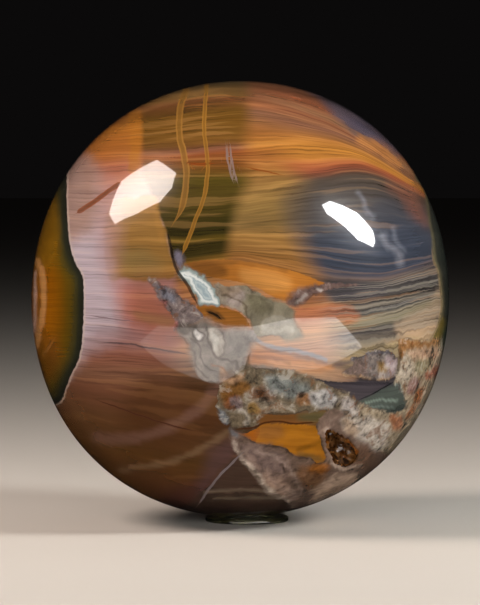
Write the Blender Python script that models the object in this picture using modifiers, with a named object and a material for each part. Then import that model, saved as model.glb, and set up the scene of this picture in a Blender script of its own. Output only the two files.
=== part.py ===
"""A polished agate sphere with an open crystal pocket, standing on a small clear display ring.

The stone was ground by hand, so it is a little taller than it is wide and a little square
in the shoulder. The frame is +Z up and +X to the viewer's right, the viewer looks along +Y,
and the origin is on the surface that the ring stands on, under the middle of the stone.
"""

import math
import random

import bmesh
import bpy
from mathutils import Matrix, Vector, noise

# Driving dimensions, in metres.
STONE_MEAN_RADIUS = 0.06550
STONE_TALLNESS = 0.0212
STONE_LEAN = 0.0028
STONE_SQUARENESS = 0.0065

RING_OUTER_RADIUS = 0.0127
RING_BORE_RADIUS = 0.0088
RING_HEIGHT = 0.0015
RING_CHAMFER = 0.0003
RING_SHIFT = 0.0020
RING_STEPS = 72

# The pocket opens low on the right of the front. It is a teardrop, wider at its lower end.
POCKET_DIRECTION = Vector((0.453, -0.604, -0.656)).normalized()
POCKET_HALF_LENGTH = 0.0111
POCKET_HALF_WIDTH = 0.0035
POCKET_DEPTH = 0.0070
POCKET_TURN = math.radians(50)
POCKET_TAPER = 0.38
POCKET_LUMP_SIZE = 0.0034
POCKET_LUMP_HEIGHT = 0.0008
NORMAL_STEP = 0.02

# The crystals are tried in turn, and one that would touch another is left out.
CRUST_THICKNESS = 0.0007
CRYSTAL_TRIES = 140
CRYSTAL_RADII = (0.00040, 0.00080)
CRYSTAL_HEIGHT_SHARE = (1.3, 2.1)
CRYSTAL_LEAN = 0.25
CRYSTAL_ROOT = 0.0003
CRYSTAL_TIP_SHARE = 0.45
CRYSTAL_SEED = 3

CLEARANCE = 0.0003
MERGE_DISTANCE = 0.00001


def clear_scene():
    for obj in list(bpy.data.objects):
        bpy.data.objects.remove(obj)


def make_collection(name):
    collection = bpy.data.collections.new(name)
    bpy.context.scene.collection.children.link(collection)
    return collection


def place_in(obj, collection):
    for old in list(obj.users_collection):
        old.objects.unlink(obj)
    collection.objects.link(obj)


def new_material(name, colour, roughness, transmission=0.0):
    material = bpy.data.materials.new(name)
    material.use_nodes = True
    shader = material.node_tree.nodes["Principled BSDF"]
    shader.inputs["Base Color"].default_value = (*colour, 1.0)
    shader.inputs["Roughness"].default_value = roughness
    shader.inputs["Metallic"].default_value = 0.0
    shader.inputs["Transmission Weight"].default_value = transmission
    return material


def hide_as_cutter(obj, collection):
    place_in(obj, collection)
    obj.hide_render = True
    obj.display_type = "WIRE"


def add_boolean(obj, other, operation, crosses_itself=False):
    boolean = obj.modifiers.new(f"{operation.lower()}_{other.name}", "BOOLEAN")
    boolean.operation = operation
    boolean.object = other
    boolean.solver = "EXACT"
    boolean.use_self = crosses_itself


def stone_radius(direction):
    """Distance from the stone's middle to its polished surface, along a unit direction."""
    up = direction.z * direction.z
    tall = STONE_TALLNESS * (2 * up - 1)
    lean = STONE_LEAN * 2 * direction.x * direction.z
    square = STONE_SQUARENESS * (8 * up * (1 - up) - 1)
    return STONE_MEAN_RADIUS * (1 + tall + lean + square)


def seat_height():
    """Height of the stone's middle at which its underside clears the ring's seat."""
    highest = 0.0
    for step in range(RING_STEPS):
        turn = 2 * math.pi * step / RING_STEPS
        for radius, z in (
            (RING_BORE_RADIUS + RING_CHAMFER, RING_HEIGHT),
            (RING_BORE_RADIUS, RING_HEIGHT - RING_CHAMFER),
        ):
            edge = Vector((RING_SHIFT + radius * math.cos(turn), radius * math.sin(turn), 0))
            reach = stone_radius((edge - Vector((0, 0, STONE_MEAN_RADIUS))).normalized()) + CLEARANCE
            highest = max(highest, z + math.sqrt(reach**2 - edge.length_squared))
    return highest


def stone_body(name, middle, inset=0.0):
    """The polished outer form, or the same form shrunk by the inset."""
    bpy.ops.mesh.primitive_ico_sphere_add(subdivisions=5, radius=1.0, location=middle)
    body = bpy.context.active_object
    body.name = name
    for vertex in body.data.vertices:
        direction = vertex.co.normalized()
        vertex.co = direction * (stone_radius(direction) - inset)
    return body


def pocket_frame(middle):
    """Axes at the pocket's mouth: X across it, Y down the stone and Z out of the stone."""
    outward = POCKET_DIRECTION
    across = Vector((0, 0, -1)).cross(outward).normalized()
    across = Matrix.Rotation(POCKET_TURN, 3, outward) @ across
    along = outward.cross(across)
    turn = Matrix((across, along, outward)).transposed().to_4x4()
    return Matrix.Translation(middle + outward * stone_radius(outward)) @ turn


def pocket_wall(direction):
    """A point of the pocket's lumpy wall, in the pocket's own axes."""
    wall = Vector((
        direction.x * POCKET_HALF_WIDTH * (1 + POCKET_TAPER * direction.y),
        direction.y * POCKET_HALF_LENGTH,
        direction.z * POCKET_DEPTH,
    ))
    return wall + direction * noise.noise(wall / POCKET_LUMP_SIZE) * POCKET_LUMP_HEIGHT


def pocket_inward(direction):
    """The wall's unit normal at that point, towards the open middle."""
    side = direction.orthogonal().normalized() * NORMAL_STEP
    up = direction.cross(side)
    here = pocket_wall(direction)
    first = pocket_wall((direction + side).normalized()) - here
    second = pocket_wall((direction + up).normalized()) - here
    return -first.cross(second).normalized()


def pocket_body(name, middle, inset):
    bpy.ops.mesh.primitive_ico_sphere_add(subdivisions=3, radius=1.0)
    body = bpy.context.active_object
    body.name = name
    for vertex in body.data.vertices:
        direction = vertex.co.normalized()
        vertex.co = pocket_wall(direction) + pocket_inward(direction) * inset
    body.matrix_world = pocket_frame(middle)
    return body


def add_crystal(mesh, root, axis, radius, height):
    """One six-sided quartz point: a prism whose top face is drawn out into a pyramid."""
    shaft = height * (1 - CRYSTAL_TIP_SHARE)
    turn = axis.to_track_quat("Z", "Y").to_matrix().to_4x4()
    middle = root + axis * (shaft - CRYSTAL_ROOT) / 2
    prism = bmesh.ops.create_cone(
        mesh, cap_ends=True, segments=6, radius1=radius, radius2=radius,
        depth=shaft + CRYSTAL_ROOT, matrix=Matrix.Translation(middle) @ turn,
    )
    caps = {face for corner in prism["verts"] for face in corner.link_faces}
    top = max(caps, key=lambda face: face.calc_center_median().dot(axis))
    tip = bmesh.ops.poke(mesh, faces=[top])["verts"][0]
    tip.co += axis * height * CRYSTAL_TIP_SHARE


def crystal_points(name, middle):
    """Quartz points on the crust's inner face. Each leans inwards and keeps clear of the others."""
    rng = random.Random(CRYSTAL_SEED)
    mesh = bmesh.new()
    placed = []
    golden = math.pi * (3 - math.sqrt(5))
    for index in range(CRYSTAL_TRIES):
        down = -(index + 0.5) / CRYSTAL_TRIES
        reach = math.sqrt(1 - down * down)
        direction = Vector((reach * math.cos(golden * index), reach * math.sin(golden * index), down))
        inward = pocket_inward(direction)
        stray = Vector((rng.uniform(-1, 1), rng.uniform(-1, 1), rng.uniform(-1, 1)))
        axis = (inward + stray * CRYSTAL_LEAN).normalized()
        radius = rng.uniform(*CRYSTAL_RADII)
        height = radius * rng.uniform(*CRYSTAL_HEIGHT_SHARE)
        root = pocket_wall(direction) + inward * (CLEARANCE + CRUST_THICKNESS)
        tip = root + axis * height
        crowded = any(
            min((root - other_root).length, (tip - other_tip).length) < radius + other_radius
            for other_root, other_tip, other_radius in placed
        )
        if not crowded:
            placed.append((root, tip, radius))
            add_crystal(mesh, root, axis, radius, height)
    data = bpy.data.meshes.new(name)
    mesh.to_mesh(data)
    mesh.free()
    cluster = bpy.data.objects.new(name, data)
    bpy.context.scene.collection.objects.link(cluster)
    cluster.matrix_world = pocket_frame(middle)
    return cluster


def make_stone(middle, parts, cutters):
    stone = stone_body("agate_stone", middle)
    stone.data.materials.append(new_material("polished_agate", (0.30, 0.17, 0.08), 0.08))
    stone.data.shade_smooth()
    place_in(stone, parts)
    pocket = pocket_body("pocket_cutter", middle, 0.0)
    hide_as_cutter(pocket, cutters)
    add_boolean(stone, pocket, "DIFFERENCE")


def make_crust(middle, parts, cutters):
    crust = pocket_body("crystal_crust", middle, CLEARANCE)
    crust.data.materials.append(new_material("drusy_quartz", (0.36, 0.24, 0.16), 0.25))
    place_in(crust, parts)
    hollow = pocket_body("crust_hollow", middle, CLEARANCE + CRUST_THICKNESS)
    points = crystal_points("crust_points", middle)
    roots = pocket_body("crust_roots", middle, CLEARANCE + CRUST_THICKNESS / 4)
    core = stone_body("crust_limit", middle, CLEARANCE)
    for cutter in (hollow, points, roots, core):
        hide_as_cutter(cutter, cutters)
    add_boolean(points, roots, "INTERSECT", crosses_itself=True)
    add_boolean(crust, hollow, "DIFFERENCE")
    add_boolean(crust, points, "UNION", crosses_itself=True)
    add_boolean(crust, core, "INTERSECT")


def make_ring(parts):
    """The display ring is turned: outer side, chamfers, flat foot, bore and seat."""
    profile = [
        (RING_OUTER_RADIUS - RING_CHAMFER, RING_HEIGHT),
        (RING_OUTER_RADIUS, RING_HEIGHT - RING_CHAMFER),
        (RING_OUTER_RADIUS, RING_CHAMFER),
        (RING_OUTER_RADIUS - RING_CHAMFER, 0.0),
        (RING_BORE_RADIUS, 0.0),
        (RING_BORE_RADIUS, RING_HEIGHT - RING_CHAMFER),
        (RING_BORE_RADIUS + RING_CHAMFER, RING_HEIGHT),
    ]
    data = bpy.data.meshes.new("display_ring")
    edges = [(index, (index + 1) % len(profile)) for index in range(len(profile))]
    data.from_pydata([(radius, 0, z) for radius, z in profile], edges, [])
    ring = bpy.data.objects.new("display_ring", data)
    ring.location = (RING_SHIFT, 0, 0)
    ring.data.materials.append(new_material("clear_acrylic", (0.9, 0.92, 0.88), 0.05, 1.0))
    parts.objects.link(ring)
    turned = ring.modifiers.new("turned", "SCREW")
    turned.axis = "Z"
    turned.steps = RING_STEPS
    turned.render_steps = RING_STEPS
    turned.use_merge_vertices = True
    turned.merge_threshold = MERGE_DISTANCE


def main():
    clear_scene()
    parts = make_collection("agate_sphere")
    cutters = make_collection("cutters")
    middle = Vector((0, 0, seat_height()))
    make_stone(middle, parts, cutters)
    make_crust(middle, parts, cutters)
    make_ring(parts)


main()
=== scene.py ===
"""The polished agate sphere on its clear ring: surfaces, crystals, light and camera."""

import itertools
import math

import bmesh
import bpy
import numpy as np
from mathutils import Matrix, Vector, noise


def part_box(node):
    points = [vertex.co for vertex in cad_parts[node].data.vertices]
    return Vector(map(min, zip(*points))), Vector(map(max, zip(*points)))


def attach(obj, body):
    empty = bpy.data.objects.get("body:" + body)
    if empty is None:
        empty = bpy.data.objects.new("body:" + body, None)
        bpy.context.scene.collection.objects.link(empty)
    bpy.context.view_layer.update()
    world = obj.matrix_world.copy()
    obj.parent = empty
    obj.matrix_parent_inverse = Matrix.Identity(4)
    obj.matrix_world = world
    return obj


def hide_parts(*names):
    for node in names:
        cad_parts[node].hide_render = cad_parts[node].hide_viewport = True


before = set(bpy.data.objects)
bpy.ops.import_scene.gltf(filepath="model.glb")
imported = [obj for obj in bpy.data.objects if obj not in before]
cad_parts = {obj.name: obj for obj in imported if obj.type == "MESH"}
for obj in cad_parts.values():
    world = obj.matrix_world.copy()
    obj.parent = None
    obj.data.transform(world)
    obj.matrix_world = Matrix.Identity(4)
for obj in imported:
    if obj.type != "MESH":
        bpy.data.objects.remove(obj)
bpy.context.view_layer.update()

# The viewpoint. The stone is seen from a little above its middle, through a long lens. The
# pattern's places below are millimetres right of and above its middle, as seen from here.
LENS_MM = 200.0
SENSOR_MM = 36.0
VIEW_DISTANCE_MM = 1027.0
VIEW_ELEVATION = math.radians(2.0)
toward_viewer = np.array((0, -math.cos(VIEW_ELEVATION), math.sin(VIEW_ELEVATION)))
up_in_view = np.array((0, math.sin(VIEW_ELEVATION), math.cos(VIEW_ELEVATION)))

# The stone. It is one boulder of banded jasper and agate, sawn, ground to a ball and polished.
# Hand grinding left it a little taller than it is wide and a little square in the shoulder.
LEAN = 0.0028
SQUARENESS = 0.0065
MM_PER_M = 1000
CELLS_PER_EDGE = 128
FRONT_CROWDING = 2.2
stone_low, stone_high = (np.array(corner) * MM_PER_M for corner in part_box("agate_stone"))
stone_middle = (stone_low + stone_high) / 2
half_width = (stone_high[0] - stone_low[0]) / 2
half_height = (stone_high[2] - stone_low[2]) / 2
mean_radius = (half_width + half_height) / 2 / (1 - SQUARENESS)
tallness = (half_height - half_width) / 2 / mean_radius


def stone_radius(direction):
    """Millimetres from the stone's middle to its surface, for rows of unit directions."""
    up = direction[:, 2] ** 2
    lean = LEAN * 2 * direction[:, 0] * direction[:, 2]
    square = SQUARENESS * (8 * up * (1 - up) - 1)
    return mean_radius * (1 + tallness * (2 * up - 1) + lean + square)


def unit(rows):
    return rows / np.linalg.norm(rows, axis=-1, keepdims=True)


def crowd_to_front(direction):
    """Slides points over the unit sphere towards the front, where the pattern is seen."""
    side, depth, height = direction.T
    near, far = FRONT_CROWDING**2 * (1 - depth), 1 + depth
    rows = (2 * FRONT_CROWDING * side, far - near, 2 * FRONT_CROWDING * height)
    return (rows / (near + far)).T


cube = bmesh.new()
bmesh.ops.create_cube(cube, size=2.0)
bmesh.ops.subdivide_edges(cube, edges=cube.edges[:], cuts=CELLS_PER_EDGE - 1, use_grid_fill=True)
stone_mesh = bpy.data.meshes.new("polished_agate_sphere")
cube.to_mesh(stone_mesh)
cube.free()
corners = np.zeros(len(stone_mesh.vertices) * 3, np.float32)
stone_mesh.vertices.foreach_get("co", corners)
direction = unit(np.tan(corners.reshape(-1, 3).astype(float) * math.pi / 4))
direction = unit(crowd_to_front(direction))
surface = direction * stone_radius(direction)[:, None]

# Where each point is seen: across and above the stone's middle, and how far behind its rim.
facing = surface @ toward_viewer
shrink = 1 - np.abs(facing) / VIEW_DISTANCE_MM
across = surface[:, 0] / shrink
above = surface @ up_in_view / shrink
behind = np.maximum(-facing, 0)


LATTICE = 64


def lumpy(size, seed):
    """Smooth noise from -1 to 1 over the stone, with lumps of about the given size in mm."""
    lattice = np.random.default_rng(seed).uniform(-1, 1, (LATTICE, LATTICE, LATTICE))
    cell = np.floor(surface / size).astype(int)
    share = surface / size - cell
    share = share * share * (3 - 2 * share)
    value = np.zeros(len(surface))
    for corner in itertools.product((0, 1), repeat=3):
        weight = np.where(corner, share, 1 - share).prod(1)
        value += weight * lattice[tuple(((cell + corner) % LATTICE).T)]
    return value


# The beds. Silt and silica settled in layers that were later bent, so they fan out at the left
# and close up under the right shoulder. Each line is one bed's height at the stations below.
BED_STATIONS = (-60, -40, -20, 0, 20, 40, 60)
STATION_STEP = 20
BED_LINES = (
    (60.0, 63.0, 66.0, 67.5, 64.0, 57.0, 40.0),
    (54.3, 57.4, 60.9, 61.5, 56.9, 46.7, 33.0),
    (50.3, 53.2, 55.6, 57.1, 53.8, 46.1, 32.3),
    (46.7, 49.7, 51.4, 52.0, 50.7, 44.5, 31.7),
    (41.9, 42.7, 43.2, 44.3, 46.1, 42.6, 30.9),
    (39.6, 41.0, 41.4, 40.5, 39.6, 40.4, 30.1),
    (33.0, 33.0, 33.0, 34.0, 35.9, 37.9, 29.0),
    (25.9, 25.7, 25.9, 26.6, 29.4, 31.2, 25.9),
    (18.8, 18.6, 18.8, 19.0, 18.6, 18.8, 20.1),
    (13.9, 13.5, 13.3, 14.7, 13.9, 11.7, 13.5),
    (10.4, 9.5, 10.4, 11.5, 7.3, 5.9, 10.8),
    (2.8, 2.4, 2.4, 2.8, 2.4, 3.9, 7.7),
    (-1.6, -2.5, -3.5, -3.4, -2.5, -0.7, 2.7),
    (-6.0, -7.4, -8.7, -8.9, -8.2, -6.5, -0.3),
    (-11.8, -13.6, -15.8, -15.8, -13.6, -10.5, -6.9),
    (-18.9, -20.2, -21.1, -19.3, -22.9, -24.6, -21.1),
    (-25.5, -27.3, -29.5, -30.8, -31.7, -31.7, -29.1),
    (-36.2, -40.6, -45.9, -49.5, -50.4, -48.6, -43.3),
    (-55.7, -57.4, -58.8, -59.2, -58.8, -56.6, -53.9),
    (-66.0, -68.0, -70.0, -70.0, -70.0, -68.0, -66.0),
)


def smooth_step(low, high, value):
    share = np.clip((value - low) / (high - low), 0, 1)
    return share * share * (3 - 2 * share)


def on_curve(before, low, high, after, share):
    """A place on the smooth curve through four others, its share of the way from low to high."""
    bend = 2 * before - 5 * low + 4 * high - after + share * (3 * (low - high) + after - before)
    return low + share / 2 * (high - before + share * bend)


def bed_height(heights, place):
    """A bed's height between its stations."""
    step = (np.clip(place, BED_STATIONS[0], BED_STATIONS[-1]) - BED_STATIONS[0]) / STATION_STEP
    first = np.clip(step.astype(int), 0, len(BED_STATIONS) - 2)
    line = np.array((2 * heights[0] - heights[1],) + heights + (2 * heights[-1] - heights[-2],))
    return on_curve(*(line[first + offset] for offset in range(4)), step - first)


BACK_TILT = 0.12
CROWN_BED_MM = 6.0
THINNEST_BED_MM = 0.05
bed_above = above + BACK_TILT * behind + 0.9 * lumpy(23, seed=1) + 0.25 * lumpy(7, seed=2)
upper = bed_height(BED_LINES[0], across)
bed = np.clip(1 - (bed_above - upper) / CROWN_BED_MM, 0, 1)
for number, heights in enumerate(BED_LINES[1:], 1):
    lower = bed_height(heights, across)
    share = (upper - bed_above) / np.maximum(upper - lower, THINNEST_BED_MM)
    bed = np.where(bed_above < upper, number + np.clip(share, 0, 1), bed)
    upper = lower


def linear(colour):
    """A colour given as sRGB hex, as the linear values that the renderer works in."""
    channels = np.array([int(colour[place : place + 2], 16) for place in (1, 3, 5)]) / 255
    return np.where(channels <= 0.04045, channels / 12.92, ((channels + 0.055) / 1.055) ** 2.4)


# The beds' colours, from the crown down, in four stretches that meet at upright fronts.
PINK_BEDS = (
    (0.0, "#54381f"), (2.0, "#7a5230"), (2.7, "#965f2a"), (3.5, "#a06426"), (4.6, "#a0622c"),
    (6.2, "#a4644a"), (7.0, "#a56e5a"), (7.8, "#a5827d"), (8.7, "#a38c8c"), (10.0, "#a58c91"),
    (10.8, "#a08484"), (11.3, "#a57d7d"), (12.2, "#aa7873"), (13.0, "#ab7468"), (13.6, "#a56e64"),
    (14.1, "#9b7373"), (14.6, "#8a625c"), (15.5, "#865543"), (16.4, "#74503c"), (17.0, "#6a4430"),
    (17.6, "#5e3e26"), (18.3, "#583a1c"), (19.0, "#5c3a22"), (20.0, "#4a2e1c"),
)
OLIVE_BEDS = (
    (0.2, "#3e3430"), (0.8, "#524636"), (1.2, "#5e4c30"), (1.9, "#6c4e28"), (2.1, "#6b4226"),
    (2.9, "#6a4a1e"), (3.5, "#66461a"), (4.2, "#6b4a1e"), (4.6, "#6e4a22"), (4.85, "#7a4e3a"),
    (5.0, "#8a4e2a"), (5.6, "#7a4a24"), (6.0, "#704420"), (6.6, "#54461a"), (7.2, "#4a3c18"),
    (7.9, "#463a18"),
    (8.3, "#3a3214"), (8.9, "#2e2810"), (9.15, "#64501e"), (9.4, "#342c12"), (10.2, "#3a3014"),
    (10.8, "#7a5a26"), (12.0, "#a06c44"), (13.0, "#ab7450"), (14.0, "#b07c5c"), (15.0, "#b0805e"),
    (16.0, "#6e4e38"), (16.7, "#4a3620"), (17.5, "#4c3420"), (18.3, "#533a1a"), (19.0, "#523828"),
    (20.0, "#46302a"),
)
TAN_BEDS = (
    (0.2, "#523c2e"), (1.0, "#6e4830"), (2.0, "#86563a"), (2.5, "#965f3c"), (3.0, "#7c5640"),
    (3.6, "#885c38"), (4.3, "#96602f"), (4.8, "#a0692c"), (5.2, "#925a2c"), (6.0, "#94602f"),
    (6.6, "#8e6838"), (7.3, "#8c6c3c"), (8.0, "#84683a"), (8.6, "#7a6038"), (9.1, "#966e3a"),
    (9.5, "#866234"), (10.2, "#825c30"), (10.8, "#84582c"), (12.0, "#a87850"), (13.0, "#bc7c54"),
    (13.6, "#b88464"), (14.6, "#ac8462"), (15.3, "#a87c60"), (16.0, "#7c6c5e"), (17.0, "#5e4c38"),
    (18.0, "#3c2c1e"), (20.0, "#241a12"),
)
SLATE_BEDS = (
    (0.0, "#50463e"), (1.0, "#6e4c38"), (1.6, "#8a5034"), (1.9, "#a07250"), (2.2, "#74422e"),
    (2.9, "#865a3e"), (3.3, "#7e5440"), (4.0, "#8a5c38"), (4.4, "#a86e34"), (5.0, "#b27632"),
    (5.5, "#ae7232"), (5.8, "#9c5630"), (6.3, "#8c4e36"), (6.8, "#6c4634"), (7.1, "#4e4238"),
    (7.6, "#463e39"), (8.2, "#434246"), (9.0, "#42444c"), (9.5, "#3d414b"), (10.7, "#3a3d48"),
    (10.95, "#6e5a50"), (11.2, "#4a4544"), (12.0, "#454040"), (12.4, "#5f5a55"), (12.85, "#2e2a2a"),
    (13.0, "#3a3634"), (13.2, "#847a6c"), (13.4, "#605e5c"), (13.6, "#464442"), (13.8, "#857a66"),
    (14.2, "#7d755c"), (14.6, "#4c4846"), (14.9, "#48423e"), (15.1, "#75695a"), (15.35, "#93815f"),
    (15.7, "#776852"), (16.0, "#403b3e"), (17.0, "#5c5650"), (20.0, "#3a2e26"),
)


def ramp_colours(stops, value):
    colours = np.array([linear(colour) for _, colour in stops])
    places = [place for place, _ in stops]
    return np.stack([np.interp(value, places, colours[:, channel]) for channel in range(3)], 1)


def front_share(route, softness):
    """How far each point lies beyond an upright front, given as (across, above) from the top."""
    heights = [height for _, height in route][::-1]
    places = [place for place, _ in route][::-1]
    soft = np.interp(above, heights, softness[::-1])
    return smooth_step(-soft, soft, across - np.interp(above, heights, places) + 0.7 * lumpy(9, seed=3))


to_olive = front_share(
    ((-31, 66), (-30.3, 40), (-27, 31), (-23.7, 22.8), (-21.4, 14), (-19.8, 8), (-19, 0),
     (-18, -25), (-10, -40)),
    (0.8, 1.5, 0.8, 0.5, 0.5, 0.6, 4, 6, 10),
)
to_tan = front_share(
    ((2.4, 66), (2, 36), (-0.7, 28), (-3, 19), (-4, 12), (-2, -20), (2, -40)),
    (3.0, 4.0, 3.0, 2.5, 3, 8, 8),
)
to_slate = front_share(
    ((9, 66), (12, 45), (19, 36), (17, 30), (17, 20), (20, 14), (25, 4), (30, -20)),
    (9, 8, 6, 7, 7, 6, 5, 6),
)
ground = ramp_colours(PINK_BEDS, bed)
for stops, share in ((OLIVE_BEDS, to_olive), (TAN_BEDS, to_tan), (SLATE_BEDS, to_slate)):
    ground = ground * (1 - share[:, None]) + ramp_colours(stops, bed) * share[:, None]

# How strongly the beds are striped: faint at the left, bold where silt and silica alternate.
bold = smooth_step(10.8, 11.6, bed) * (1 - smooth_step(15.3, 15.9, bed)) * to_slate
stripe = 0.5 + 0.25 * to_olive - 0.05 * to_slate
stripe = stripe + (1.0 - stripe) * bold
stripe = stripe * (1 - 0.5 * smooth_step(16.5, 17.5, bed))

POINTS_PER_STRETCH = 4
FAR_MM = 1e3


def smooth_outline(points, closed):
    """More points on a smooth curve through the given ones."""
    points = np.array(points, float)
    if closed:
        padded = np.vstack((points[-1:], points, points[:2]))
    else:
        padded = np.vstack((2 * points[0] - points[1], points, 2 * points[-1] - points[-2]))
    share = np.linspace(0, 1, POINTS_PER_STRETCH, endpoint=False)[:, None]
    stretches = []
    for before, low, high, after in zip(padded, padded[1:], padded[2:], padded[3:]):
        stretches.append(on_curve(before, low, high, after, share))
    return np.vstack(stretches + [points[:1] if closed else points[-1:]])


# Behind the rim the layout drifts, so that the back doesn't mirror the front.
REACH_MM = 8.0
FULL_DRIFT_MM = 22
drift = smooth_step(0, FULL_DRIFT_MM, behind)
drift_across = drift * (8 * lumpy(29, seed=14) + 3)
drift_above = drift * (16 * lumpy(33, seed=15) + 9)
warp_across = lumpy(3.1, seed=4) + 0.6 * lumpy(1.3, seed=5)
warp_above = lumpy(3.1, seed=6) + 0.6 * lumpy(1.3, seed=7)


def measure(outline, closed=True, wander=0.0, on_back=False):
    """Millimetres to an outline, its side, and millimetres to the nearer end of an open one."""
    line = smooth_outline(outline, closed)
    right_of = (-across if on_back else across + drift_across) + wander * warp_across
    over = (above if on_back else above + drift_above) + wander * warp_above
    low, high = line.min(0) - REACH_MM, line.max(0) + REACH_MM
    near = (right_of > low[0]) & (right_of < high[0]) & (over > low[1]) & (over < high[1])
    near = np.flatnonzero(near)
    right_of, over = right_of[near], over[near]
    closest = np.full(len(near), np.inf)
    which_side = np.ones(len(near))
    gone = np.zeros(len(near))
    crossings = np.zeros(len(near), int)
    passed = 0.0
    for (start_across, start_above), (end_across, end_above) in zip(line, line[1:]):
        run, rise = end_across - start_across, end_above - start_above
        length = math.hypot(run, rise) + 1e-9
        right, up = right_of - start_across, over - start_above
        along = np.clip((right * run + up * rise) / length, 0, length)
        distance = np.hypot(right - along * run / length, up - along * rise / length)
        closer = distance < closest
        closest = np.where(closer, distance, closest)
        which_side = np.where(closer, np.sign(run * up - rise * right + 1e-9), which_side)
        gone = np.where(closer, passed + along, gone)
        passed += length
        spans = (over >= start_above) != (over >= end_above)
        crossings += spans & (right < run * up / (rise if rise else 1e-9))
    nearest = np.full(len(surface), FAR_MM)
    side = np.full(len(surface), -1.0 if closed else 1.0)
    to_end = np.zeros(len(surface))
    nearest[near] = closest
    side[near] = np.where(crossings % 2, 1, -1) if closed else which_side
    to_end[near] = np.minimum(gone, passed - gone)
    return nearest, side, to_end


STAINS_FADE_MM = (5, 25)


def paint(colours, marks, wander=0.5):
    """Lays marks over colours. A mark has a colour, a strength, a soft edge in mm and points.

    With a half width it is a stroke along the points, and without one it fills their outline.
    """
    for _, colour, strength, softness, half_width, points in marks:
        distance, side, _ = measure(points, half_width is None, wander)
        depth = distance * side if half_width is None else half_width - distance
        share = strength * smooth_step(-softness, softness, depth)
        share = (share * (1 - smooth_step(*STAINS_FADE_MM, behind)))[:, None]
        colours = colours * (1 - share) + linear(colour) * share
    return colours


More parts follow.
